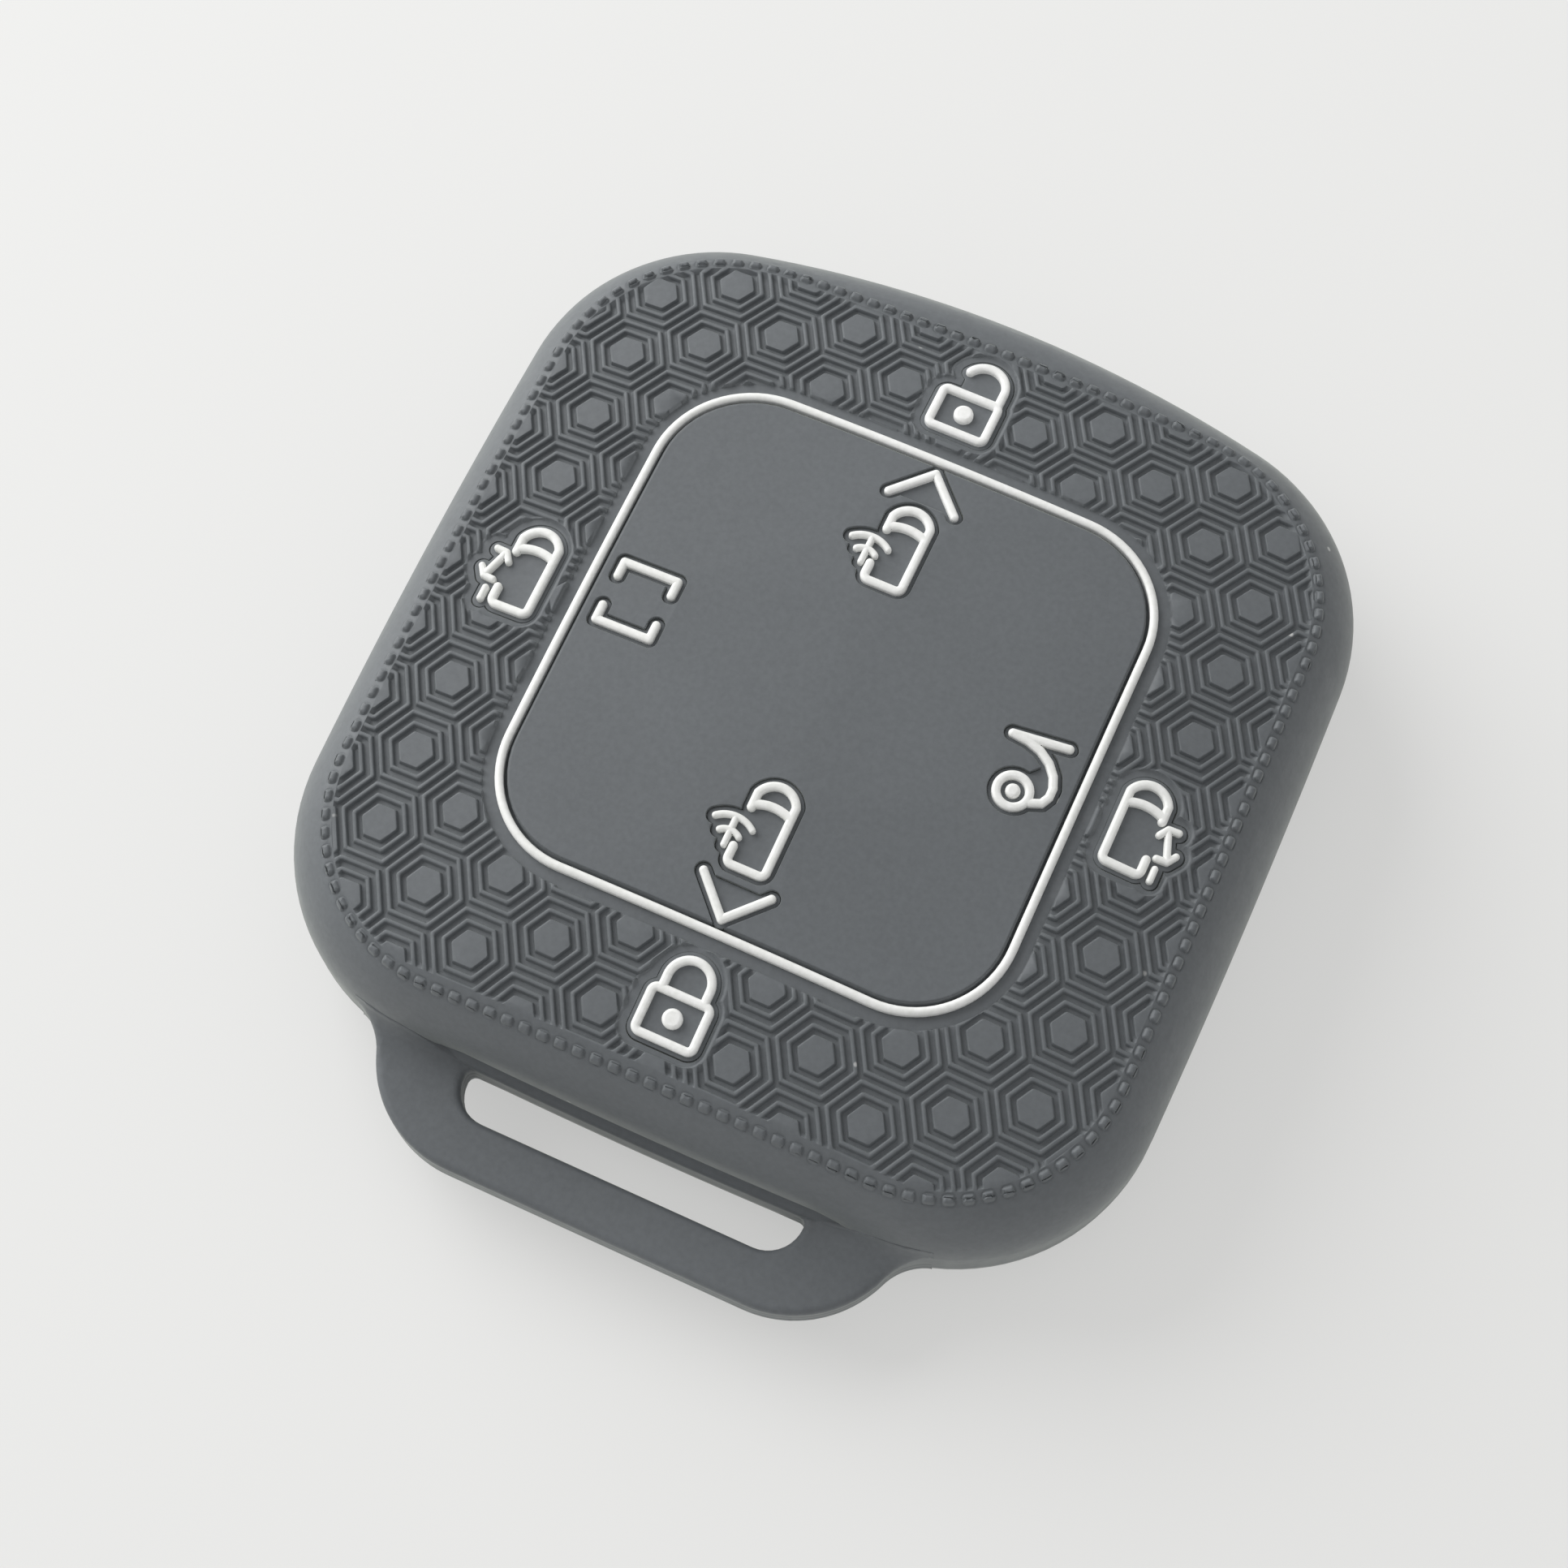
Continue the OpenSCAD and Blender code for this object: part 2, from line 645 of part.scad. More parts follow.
module unlock_pad() {
    edge = plug_w / 2;
    high = lock_h / 2 + open_shackle_leg + shackle_r;
    color("#55585d")
        pad(unlock_at, [-lock_w / 2 - edge, -lock_h / 2 - edge], [lock_w / 2 + edge, high + edge])
            unlock_key(plug_w);
}
module unlock_padlock() {
    color("#f0f1ee") on_face(unlock_at[0], unlock_at[1]) mark() {
        padlock_case(stroke_w);
        open_shackle(stroke_w);
    }
}
module unlock_keyhole() {
    color("#f0f1ee") on_face(unlock_at[0], unlock_at[1]) mark() keyhole();
}
module lock_pad() {
    edge = plug_w / 2;
    high = lock_h / 2 + shackle_leg + shackle_r;
    color("#55585d")
        pad(lock_at, [-lock_w / 2 - edge, -lock_h / 2 - edge], [lock_w / 2 + edge, high + edge])
            lock_key(plug_w);
}
module lock_padlock() {
    color("#f0f1ee") on_face(lock_at[0], lock_at[1]) mark() {
        padlock_case(stroke_w);
        closed_shackle(stroke_w);
    }
}
module lock_keyhole() {
    color("#f0f1ee") on_face(lock_at[0], lock_at[1]) mark() keyhole();
}
module forward_pad() {
    edge = plug_w / 2;
    x = wave_r + car_w / 2;
    low = forward_at[1] - car_l - forward_mid[1] - edge;
    high = forward_tip[1] - forward_mid[1] + edge;
    color("#55585d")
        pad(forward_mid, [-x, low], [chevron_half_w + car_shift + edge, high]) forward_key(plug_w);
}
module forward_car() {
    color("#f0f1ee") on_face(forward_mid[0], forward_mid[1]) mark()
        translate(forward_at - forward_mid) car(stroke_w);
}
module forward_chevron() {
    color("#f0f1ee") on_face(forward_mid[0], forward_mid[1]) mark()
        translate(forward_tip - forward_mid) chevron(stroke_w);
}
module forward_remote_mark() {
    color("#f0f1ee") on_face(forward_mid[0], forward_mid[1]) mark()
        translate(forward_at - forward_mid + wave_at) waves(stroke_w);
}
module back_pad() {
    edge = plug_w / 2;
    x = wave_r + car_w / 2;
    low = back_tip[1] - back_mid[1] - edge;
    high = back_at[1] - back_mid[1] + edge;
    color("#55585d")
        pad(back_mid, [-x, low], [chevron_half_w + car_shift + edge, high]) back_key(plug_w);
}
module back_car() {
    color("#f0f1ee") on_face(back_mid[0], back_mid[1]) mark() translate(back_at - back_mid) car(stroke_w);
}
module back_chevron() {
    color("#f0f1ee") on_face(back_mid[0], back_mid[1]) mark()
        translate(back_tip - back_mid) mirror([0, 1]) chevron(stroke_w);
}
module back_remote_mark() {
    color("#f0f1ee") on_face(back_mid[0], back_mid[1]) mark()
        translate(back_at - back_mid + wave_at) waves(stroke_w);
}

// A door key on the left or, mirrored, on the right
module door_side(side) {
    on_face(side * door_mid[0], door_mid[1]) scale([side, 1, 1]) children();
}
module door_pad(side) {
    edge = plug_w / 2;
    car_x = left_door_at[0] - door_mid[0];
    car_y = left_door_at[1] - door_mid[1];
    color("#55585d") mirror([side < 0 ? 1 : 0, 0, 0])
        pad(door_mid, [car_x - car_w - edge, car_y - car_l - edge], [car_x + car_w / 2 + edge, car_y + edge])
            left_door_key(plug_w);
}
module door_car(side) {
    color("#f0f1ee") door_side(side) mark() translate(left_door_at - door_mid) car(stroke_w);
}
module door_arrow(side) {
    color("#f0f1ee") door_side(side) mark() translate(left_door_at - door_mid)
        arrow(stroke_w * arrow_stroke_share);
}
module door_sill(side) {
    color("#f0f1ee") door_side(side) mark() translate(left_door_at - door_mid)
        sill(stroke_w * arrow_stroke_share);
}
module bay_pad() {
    edge = plug_w / 2;
    color("#55585d")
        pad(bay_at, -[bay_w / 2 + edge, bay_h / 2 + edge], [bay_w / 2 + edge, bay_h / 2 + edge])
            bay_key(plug_w);
}
module bay_top_bracket() {
    color("#f0f1ee") on_face(bay_at[0], bay_at[1]) mark() bay_bracket(stroke_w);
}
module bay_bottom_bracket() {
    color("#f0f1ee") on_face(bay_at[0], bay_at[1]) mark() mirror([0, 1]) bay_bracket(stroke_w);
}
module tailgate_pad() {
    edge = plug_w / 2;
    low = -gate_h / 2 - wheel_r - edge;
    far_x = max(gate_end_shares[0] * gate_h, wheel_r) + edge;
    near_x = hook_shares[len(hook_shares) - 1][0] * gate_h - edge;
    color("#55585d")
        pad(gate_mid, [near_x, low], [far_x, gate_h / 2 + edge]) tailgate_key(plug_w);
}
module tailgate_hook() {
    color("#f0f1ee") on_face(gate_mid[0], gate_mid[1]) mark() translate(wheel_at - gate_mid) hook(stroke_w);
}
module tailgate_hub() {
    color("#f0f1ee") on_face(gate_mid[0], gate_mid[1]) mark() translate(wheel_at - gate_mid) circle(r = hub_r);
}

cover_shell();
panel_ring();
unlock_pad();
unlock_padlock();
unlock_keyhole();
lock_pad();
lock_padlock();
lock_keyhole();
forward_pad();
forward_car();
forward_chevron();
forward_remote_mark();
back_pad();
back_car();
back_chevron();
back_remote_mark();
door_pad(1);  // left_door_pad
door_car(1);  // left_door_car
door_arrow(1);  // left_door_arrow
door_sill(1);  // left_door_sill
door_pad(-1);  // right_door_pad
door_car(-1);  // right_door_car
door_arrow(-1);  // right_door_arrow
door_sill(-1);  // right_door_sill
bay_pad();
bay_top_bracket();
bay_bottom_bracket();
tailgate_pad();
tailgate_hook();
tailgate_hub();
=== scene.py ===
import math

import bmesh
import bpy
import numpy as np
from mathutils import Matrix, Vector
from mathutils.geometry import delaunay_2d_cdt


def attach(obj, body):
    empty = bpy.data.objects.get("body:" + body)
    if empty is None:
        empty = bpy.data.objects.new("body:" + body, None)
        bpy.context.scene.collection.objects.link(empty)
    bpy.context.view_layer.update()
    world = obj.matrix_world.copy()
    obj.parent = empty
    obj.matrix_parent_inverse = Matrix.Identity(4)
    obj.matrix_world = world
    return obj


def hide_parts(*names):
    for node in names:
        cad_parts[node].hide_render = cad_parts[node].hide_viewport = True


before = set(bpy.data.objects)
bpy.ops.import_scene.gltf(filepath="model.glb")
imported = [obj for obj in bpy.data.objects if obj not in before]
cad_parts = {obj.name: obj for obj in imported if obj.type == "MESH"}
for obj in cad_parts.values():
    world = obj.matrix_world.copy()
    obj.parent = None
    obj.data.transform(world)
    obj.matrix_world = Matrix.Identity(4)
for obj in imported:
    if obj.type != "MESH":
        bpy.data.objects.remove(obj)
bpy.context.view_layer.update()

# Sizes of the body, in millimetres
# Plan places are about the middle of the face: +Y away from the strap loop, +Z up from the table.
MM = 0.001
FACE_Y = 2.475
HEIGHT, CROWN_R = 16.5, 205.0
HALF_W, TOP_REACH, STRAP_REACH = 30.95, 32.6, 31.0
SIDE_BOW, TOP_BOW, STRAP_BOW, BODY_CORNER = 0.22, 1.45, 0.3, 14.2
SKIN, WALL, LIP, RIM = 1.6, 1.9, 1.7, 8.0
SHOULDER, WALL_TOP, PARTING, HEEL = 4.2, 7.0, 4.6, 3.2
INNER_SHOULDER = 3.36
RISE, CROWN_BLEND = 0.13, 0.12

# Sizes of the strap loop and its slot
LOOP_X, LOOP_R, ROOT_R, LOOP_END = 10.7, 8.3, 4.0, 37.55
PLATE_Z, PLATE_T = 3.4, 3.0
SLOT_L, SLOT_NEAR, SLOT_FAR = 24.6, 33.9, 30.85
SLOT_NEAR_R, SLOT_FAR_R = 2.5, 0.5

# Sizes of the ring, the marks' strokes and their pockets
RING_W, RING_LOW, RING_TOP, RING_R, BEAD = 35.8, 18.15, 18.2, 6.9, 0.7
STROKE, ARROW_STROKE, THIN_STROKE = 0.6, 0.48, 0.45
MARGIN, POCKET = 0.3, 0.3
POCKET_W = STROKE + 2 * MARGIN


# Plan of the body
def meeting_point(a, ra, b, rb, side):
    """The point ra from a and rb from b, on the left of the way from a to b (side 1) or the right (-1)."""
    d = np.linalg.norm(b - a)
    along = (b - a) / d
    t = (ra * ra - rb * rb + d * d) / (2 * d)
    h = side * math.sqrt(ra * ra - t * t)
    return a + t * along + h * np.array((-along[1], along[0]))


class Quarter:
    """One quarter of the outline: a side arc, a corner arc and an end arc that meet smoothly."""

    SIDE_STEPS, CORNER_STEPS = 12, 22

    def __init__(self, half_w, reach, side_bow, end_bow, corner_r):
        self.side_r = ((reach - corner_r) ** 2 + side_bow ** 2) / (2 * side_bow)
        self.end_r = ((half_w - corner_r) ** 2 + end_bow ** 2) / (2 * end_bow)
        self.corner_r = corner_r
        self.side = np.array([half_w - self.side_r, 0.0])
        self.end = np.array([0.0, reach - self.end_r])
        self.corner = meeting_point(self.side, self.side_r - corner_r, self.end, self.end_r - corner_r, 1)
        self.side_turn = math.atan2(self.corner[1], self.corner[0] - self.side[0])
        self.end_turn = math.atan2(self.corner[1] - self.end[1], self.corner[0])

    def points(self, inset):
        """The quarter's points from the middle of the side to the middle of the end."""
        out = []
        for centre, r, start, stop, count in (
                (self.side, self.side_r, 0.0, self.side_turn, self.SIDE_STEPS),
                (self.corner, self.corner_r, self.side_turn, self.end_turn, self.CORNER_STEPS),
                (self.end, self.end_r, self.end_turn, math.pi / 2, self.SIDE_STEPS)):
            t = start + (stop - start) * np.arange(count) / count
            out.append(centre + (r - inset) * np.stack([np.cos(t), np.sin(t)], 1))
        out.append(np.array([[0.0, self.end[1] + self.end_r - inset]]))
        return np.concatenate(out)

    def inset(self, x, y):
        """Distance inside the outline, for places in this quarter."""
        side = self.side_r - np.hypot(x - self.side[0], y)
        end = self.end_r - np.hypot(x, y - self.end[1])
        corner = self.corner_r - np.hypot(x - self.corner[0], y - self.corner[1])
        by_side = np.arctan2(y, x - self.side[0]) <= self.side_turn
        by_end = np.arctan2(y - self.end[1], x) >= self.end_turn
        beside = np.where(by_end, np.minimum(side, end), side)
        return np.where(by_side, beside, np.where(by_end, end, corner))


TOP = Quarter(HALF_W, TOP_REACH, SIDE_BOW, TOP_BOW, BODY_CORNER)
STRAP = Quarter(HALF_W, STRAP_REACH, SIDE_BOW, STRAP_BOW, BODY_CORNER)


def plan(inset):
    """The body's outline, drawn in by an inset."""
    t, s = TOP.points(inset), STRAP.points(inset)
    return np.concatenate([t[:-1], t[:0:-1] * (-1, 1), -s[:-1], s[:0:-1] * (1, -1)])


def inset_at(x, y):
    x = np.abs(x)
    return np.where(y >= 0, TOP.inset(x, np.abs(y)), STRAP.inset(x, np.abs(y)))


# Heights of the body
def crown(x, y, depth=0.0):
    return HEIGHT - CROWN_R + np.sqrt((CROWN_R - depth) ** 2 - x * x - y * y)


def soft_min(a, b, blend):
    h = np.clip(0.5 + 0.5 * (b - a) / blend, 0, 1)
    return b + (a - b) * h - blend * h * (1 - h)


def body_top(x, y):
    c = np.clip(1 - inset_at(x, y) / SHOULDER, 0, 1)
    face = crown(x, y)
    return soft_min(face, WALL_TOP + (face + RISE - WALL_TOP) * np.sqrt(1 - c * c), CROWN_BLEND)


def ceiling(x, y):
    c = np.clip(1 - (inset_at(x, y) - WALL) / INNER_SHOULDER, 0, 1)
    face = crown(x, y, SKIN)
    return np.minimum(face, WALL_TOP + (face + RISE - WALL_TOP) * np.sqrt(1 - c * c))


# Places on a circle
def polar(r, turn):
    return np.array((r * math.cos(turn), r * math.sin(turn)))


def turns(start, end, count):
    return np.radians(np.linspace(start, end, count))


# Flat drawings, each a function that gives the distance from a figure
def to_side(x, y, a, b):
    """Distance from the straight line between two points."""
    dx, dy = b[0] - a[0], b[1] - a[1]
    t = np.clip(((x - a[0]) * dx + (y - a[1]) * dy) / max(dx * dx + dy * dy, 1e-12), 0, 1)
    return np.hypot(x - a[0] - t * dx, y - a[1] - t * dy)


def line(*points):
    return lambda x, y: np.minimum.reduce([to_side(x, y, a, b) for a, b in zip(points, points[1:])])


def arc(centre, r, start, end):
    s, e = math.radians(start), math.radians(end)
    ends = [centre + polar(r, t) for t in (s, e)]

    def distance(x, y):
        dx, dy = x - centre[0], y - centre[1]
        turn = (np.arctan2(dy, dx) - s) % (2 * math.pi)
        tips = np.minimum(*(np.hypot(x - p[0], y - p[1]) for p in ends))
        return np.where(turn <= e - s, np.abs(np.hypot(dx, dy) - r), tips)
    return distance


def circle(centre, r):
    return lambda x, y: np.abs(np.hypot(x - centre[0], y - centre[1]) - r)


def disc(centre, r):
    return lambda x, y: np.hypot(x - centre[0], y - centre[1]) - r


def area(points):
    """A filled polygon: the distance is below 0 inside it."""
    p = np.asarray(points, float)

    def distance(x, y):
        q = np.roll(p, -1, 0)
        d = np.minimum.reduce([to_side(x, y, a, b) for a, b in zip(p, q)])
        inside = np.zeros(np.shape(x), bool)
        for (ax, ay), (bx, by) in zip(p, q):
            if ay != by:
                inside ^= ((ay > y) != (by > y)) & (x < (bx - ax) * (y - ay) / (by - ay) + ax)
        return np.where(inside, -d, d)
    return distance


def union(*drawings):
    return lambda x, y: np.minimum.reduce([f(x, y) for f in drawings])


def moved(drawing, dx, dy):
    return lambda x, y: drawing(x - dx, y - dy)


def rounded_distance(x, y, low, high, half_x, r):
    """Distance outside a rounded rectangle that reaches from low to high."""
    qx = np.abs(x) - (half_x - r)
    qy = np.abs(y - (low + high) / 2) - ((high - low) / 2 - r)
    return np.hypot(np.maximum(qx, 0), np.maximum(qy, 0)) + np.minimum(np.maximum(qx, qy), 0) - r


def rounded_line(low, high, half_x, r, step):
    """A rounded rectangle's points and outward directions, anticlockwise, about a step apart."""
    p, n = [], []
    right, left = half_x - r, r - half_x
    corners = ((right, high - r, 0), (left, high - r, 90), (left, low + r, 180), (right, low + r, 270))
    arc_steps = max(2, round(r * math.pi / 2 / step))
    for i, (cx, cy, start) in enumerate(corners):
        for j in range(arc_steps):
            t = math.radians(start + 90 * j / arc_steps)
            p.append((cx, cy) + polar(r, t))
            n.append(polar(1, t))
        next_x, next_y, _ = corners[(i + 1) % 4]
        t = math.radians(start + 90)
        a, b = (cx, cy) + polar(r, t), (next_x, next_y) + polar(r, t)
        side_steps = max(1, round(np.linalg.norm(b - a) / step))
        for j in range(side_steps):
            p.append(a + (b - a) * j / side_steps)
            n.append(polar(1, t))
    return np.array(p), np.array(n)


def arc_line(centre, r, start, end, count):
    return [centre + polar(r, t) for t in np.linspace(start, end, count)]


def thin_out(p, tolerance):
    """Drops points of a closed line that lie within a tolerance of its chords."""
    far = int(np.argmax(np.hypot(*(p - p[0]).T)))
    keep = set()
    stretches = [(far, len(p)), (0, far)]
    while stretches:
        a, b = stretches.pop()
        keep.add(a)
        if b - a > 1:
            q = p[a + 1:b]
            d = to_side(q[:, 0], q[:, 1], p[a], p[b % len(p)])
            m = int(np.argmax(d))
            if d[m] > tolerance:
                stretches += [(a + 1 + m, b), (a, a + 1 + m)]
    return p[sorted(keep)]


def with_steps(p, step):
    """A closed line with points added so that none of its sides is longer than a step."""
    out = []
    for a, b in zip(p, np.roll(p, -1, 0)):
        n = math.ceil(np.linalg.norm(b - a) / step)
        out += [a + (b - a) * i / n for i in range(n)]
    return np.array(out)


# Level lines of a drawing, by marching squares
# A square's sides are 0 low, 1 right, 2 high and 3 left. Its code adds 1, 2, 4 and 8 for the corners
# low left, low right, high right and high left that are below the level. Each pair is a line's two sides.
SQUARE_LINES = {
    1: ((3, 0),), 2: ((0, 1),), 3: ((3, 1),), 4: ((1, 2),), 5: ((3, 2), (1, 0)),
    6: ((0, 2),), 7: ((3, 2),), 8: ((2, 3),), 9: ((2, 0),), 10: ((0, 3), (2, 1)),
    11: ((2, 1),), 12: ((1, 3),), 13: ((1, 0),), 14: ((0, 3),)}
LEVEL_STEP, LEVEL_TOLERANCE, SAME_PLACE = 0.05, 0.004, 1e-6


def level_crossings(values, xs, ys, step):
    """Where the grid's sides cross the zero line, and which crossing comes before which."""
    below = (values < 0).astype(int)
    code = below[:-1, :-1] + 2 * below[:-1, 1:] + 4 * below[1:, 1:] + 8 * below[1:, :-1]
    before, place = {}, {}
    for i, j in zip(*np.nonzero((code > 0) & (code < 15))):
        side = ((i, j, 0), (i, j + 1, 1), (i + 1, j, 0), (i, j, 1))
        for a, b in SQUARE_LINES[int(code[i, j])]:
            for row, column, up in (side[a], side[b]):
                here, there = values[row, column], values[row + up, column + 1 - up]
                t = here / (here - there)
                place[row, column, up] = (xs[column] + t * step * (1 - up), ys[row] + t * step * up)
            before[side[b]] = side[a]
    return before, place


def low_side_left(f, p):
    """The closed line p, turned round where the smaller values of f are on its right."""
    middle = (p[0] + p[1]) / 2
    left = np.array([p[0][1] - p[1][1], p[1][0] - p[0][0]])
    left = 0.01 * (left / np.linalg.norm(left))
    return p[::-1] if f(*(middle + left)) > f(*(middle - left)) else p


def contours(f, levels, box, step=LEVEL_STEP, tolerance=LEVEL_TOLERANCE):
    """Closed lines where f has each level, with the smaller values on their left."""
    xs = np.arange(box[0], box[1] + step, step)
    ys = np.arange(box[2], box[3] + step, step)
    values = f(*np.meshgrid(xs, ys))
    out = []
    for level in levels:
        before, place = level_crossings(values - level, xs, ys, step)
        loops = []
        while before:
            crossing = next(iter(before))
            points = []
            while crossing in before:
                points.append(place[crossing])
                crossing = before.pop(crossing)
            p = np.array(points)
            p = p[np.hypot(*(p - np.roll(p, 1, 0)).T) > SAME_PLACE]
            if len(p) > 8:
                loops.append(low_side_left(f, thin_out(p, tolerance)))
        out.append(loops)
    return out


# Mesh building
JOIN_DISTANCE = 1e-3


def weighted_normals(mesh):
    """Normals in which large faces count more, so that flats stay flat beside rounded edges."""
    mesh.calc_loop_triangles()
    corners = np.empty(len(mesh.loop_triangles) * 3, np.int32)
    mesh.loop_triangles.foreach_get("vertices", corners)
    a, b, c = corners.reshape(-1, 3).T
    places = np.empty(len(mesh.vertices) * 3)
    mesh.vertices.foreach_get("co", places)
    places = places.reshape(-1, 3)
    face = np.cross(places[b] - places[a], places[c] - places[a])
    out = np.zeros_like(places)
    for corner in (a, b, c):
        np.add.at(out, corner, face)
    out[np.linalg.norm(out, axis=1) < 1e-18] = (0, 0, 1)
    return out / np.linalg.norm(out, axis=1)[:, None]


class Piece:
    """The faces of one mesh, gathered in millimetres."""

    def __init__(self):
        self.places, self.faces, self.count = [], [], 0

    def add(self, places, faces):
        self.places.append(np.asarray(places, float))
        self.faces += [tuple(int(i) + self.count for i in face) for face in faces]
        self.count += len(places)

    def loft(self, rings):
        """Four-sided faces between closed rings that have the same number of points."""
        n = len(rings[0])
        faces = [(k * n + i, k * n + (i + 1) % n, (k + 1) * n + (i + 1) % n, (k + 1) * n + i)
                 for k in range(len(rings) - 1) for i in range(n)]
        self.add(np.concatenate(rings), faces)

    def joined(self):
        """The piece's places and faces, with shared edges joined and all faces turned outward."""
        mesh = bmesh.new()
        points = [mesh.verts.new(p) for p in np.concatenate(self.places)]
        for face in self.faces:
            if len(set(face)) > 2:
                try:
                    mesh.faces.new([points[i] for i in face])
                except ValueError:
                    # the same face is there already
                    pass
        bmesh.ops.remove_doubles(mesh, verts=mesh.verts, dist=JOIN_DISTANCE)
        bmesh.ops.delete(mesh, geom=[v for v in mesh.verts if not v.link_faces], context="VERTS")
        bmesh.ops.recalc_face_normals(mesh, faces=mesh.faces)
        mesh.verts.index_update()
        places = np.array([tuple(v.co) for v in mesh.verts])
        faces = [tuple(v.index for v in face.verts) for face in mesh.faces]
        mesh.free()
        return places, faces

    def place(self, name, body, node, slot_name, material, local=None):
        """Makes the object, with its body and node; slot_name is not used. local is its frame in the plan.
        """
        v, faces = self.joined()
        if local is not None:
            m = np.array(local)
            v = v @ m[:3, :3].T + m[:3, 3]
        v = (v + (0, FACE_Y, 0)) * MM
        mesh = bpy.data.meshes.new(name)
        mesh.from_pydata([tuple(p) for p in v], [], faces)
        mesh.validate()
        mesh.shade_smooth()
        mesh.normals_split_custom_set_from_vertices(weighted_normals(mesh))
        mesh.materials.append(material)
        obj = bpy.data.objects.new(name, mesh)
        bpy.context.scene.collection.objects.link(obj)
        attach(obj, body)
        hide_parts(node)


def at_height(xy, z):
    return np.column_stack([xy, np.broadcast_to(z, len(xy))])


def grid(box, step):
    x, y = np.meshgrid(np.arange(box[0], box[1], step), np.arange(box[2], box[3], step))
    return np.column_stack([x.ravel(), y.ravel()])


def fill_surface(lines, points, keep):
    """Triangles through lines of (points, closed, heights or None): places, faces and the set heights."""
    places, edges, heights = [], [], []
    for p, closed, h in lines:
        first, n = len(places), len(p)
        places += [Vector(q) for q in p]
        heights += [None] * n if h is None else list(np.broadcast_to(h, n))
        edges += [(first + i, first + (i + 1) % n) for i in range(n if closed else n - 1)]
    places += [Vector(p) for p in points]
    heights += [None] * len(points)
    out, _, faces, origins, _, _ = delaunay_2d_cdt(places, edges, [], 0, 1e-5)
    out = np.array([(p[0], p[1]) for p in out])
    faces = np.array([tuple(face) for face in faces])
    known = [next((heights[i] for i in same if heights[i] is not None), np.nan) for same in origins]
    middle = out[faces].mean(1)
    faces = faces[keep(middle[:, 0], middle[:, 1])]
    a, b, c = out[faces[:, 0]], out[faces[:, 1]], out[faces[:, 2]]
    size = (b[:, 0] - a[:, 0]) * (c[:, 1] - a[:, 1]) - (b[:, 1] - a[:, 1]) * (c[:, 0] - a[:, 0])
    faces[size < 0] = faces[size < 0][:, ::-1]
    return out, faces[np.abs(size) > 1e-9], np.array(known, float)


# Marks, each a drawing of centre lines in its key's own frame
MARK_CORNER = 0.4
CASE_W, CASE_H = 4.05, 3.12
SHACKLE_R, CLOSED_LEG, OPEN_LEG, OPEN_SHIFT, OPEN_TURN = 1.48, 0.95, 1.15, 0.395, 152
KEYHOLE_D, HUB_D = 1.36, 1.0
CAR_W, CAR_L = 2.7, 6.0
BONNET_BOW, SCREEN_BOW, SCREEN_AT = CAR_W * 0.34, CAR_W * 0.12, CAR_L * 0.24
DOOR_START, DOOR_END = CAR_L * 0.33, CAR_L * 0.8
CHEVRON_X, CHEVRON_Y = 2.4, 2.5
WAVE_R, WAVE_INNER, WAVE_START, WAVE_END = 2.05, 0.52, 50, 130
ARROW_TOP = np.array((-0.71 * CAR_W, -0.38 * CAR_L))
ARROW_LOW = np.array((-0.98 * CAR_W, -0.73 * CAR_L))
ARROW_ARM, ARROW_TURNS = 0.27 * CAR_W, (176, -56)
SILL_X, SILL_TOP = -0.78 * CAR_W, -0.86 * CAR_L
SILL = [(SILL_X, SILL_TOP), (SILL_X, -CAR_L)]
BAY_W, BAY_H, BAY_LEG = 3.95, 4.5, 1.1
GATE_H, WHEEL_R = 4.2, 1.1
HOOK = GATE_H * np.array([(0.31, -0.07), (0.48, 0), (0.55, 0.14), (0.55, 0.3), (0.48, 0.48), (0.34, 0.65),
                          (0.14, 0.78), (-0.1, 0.85), (-0.37, 0.87)])
GATE_TIP = (0.54 * GATE_H, GATE_H)
HOOK_ROOM = 6


def padlock_case():
    x, y = CASE_W / 2, CASE_H / 2
    return lambda u, v: np.abs(rounded_distance(u, v, -y, y, x, MARK_CORNER))


def closed_shackle():
    r, y = SHACKLE_R, CASE_H / 2
    return union(arc((0, y + CLOSED_LEG), r, 0, 180), line((-r, y), (-r, y + CLOSED_LEG)),
                 line((r, y), (r, y + CLOSED_LEG)))


def open_shackle():
    r, x, y = SHACKLE_R, OPEN_SHIFT, CASE_H / 2
    return union(arc((x, y + OPEN_LEG), r, 0, OPEN_TURN), line((x + r, y), (x + r, y + OPEN_LEG)))


def padlock_area(x, leg):
    w, h, r = CASE_W / 2, CASE_H / 2, SHACKLE_R
    return union(area([(-w, -h), (w, -h), (w, h), (-w, h)]), disc((x, h + leg), r),
                 area([(x - r, h), (x + r, h), (x + r, h + leg), (x - r, h + leg)]))


def bow_arc(y, bow):
    """An arc across the car that bows forward, with its highest point at a height."""
    half = CAR_W / 2
    r = (half * half + bow * bow) / (2 * bow)
    turn = math.degrees(math.asin(half / r))
    return arc((0, y - r), r, 90 - turn, 90 + turn)


def car():
    x, low, r = CAR_W / 2, -CAR_L, MARK_CORNER
    return union(bow_arc(0, BONNET_BOW), bow_arc(-SCREEN_AT, SCREEN_BOW),
                 line((-x, -BONNET_BOW), (-x, -DOOR_START)), line((-x, -DOOR_END), (-x, low + r)),
                 arc((r - x, low + r), r, 180, 270), line((r - x, low), (x - r, low)),
                 arc((x - r, low + r), r, 270, 360), line((x, low + r), (x, -BONNET_BOW)))


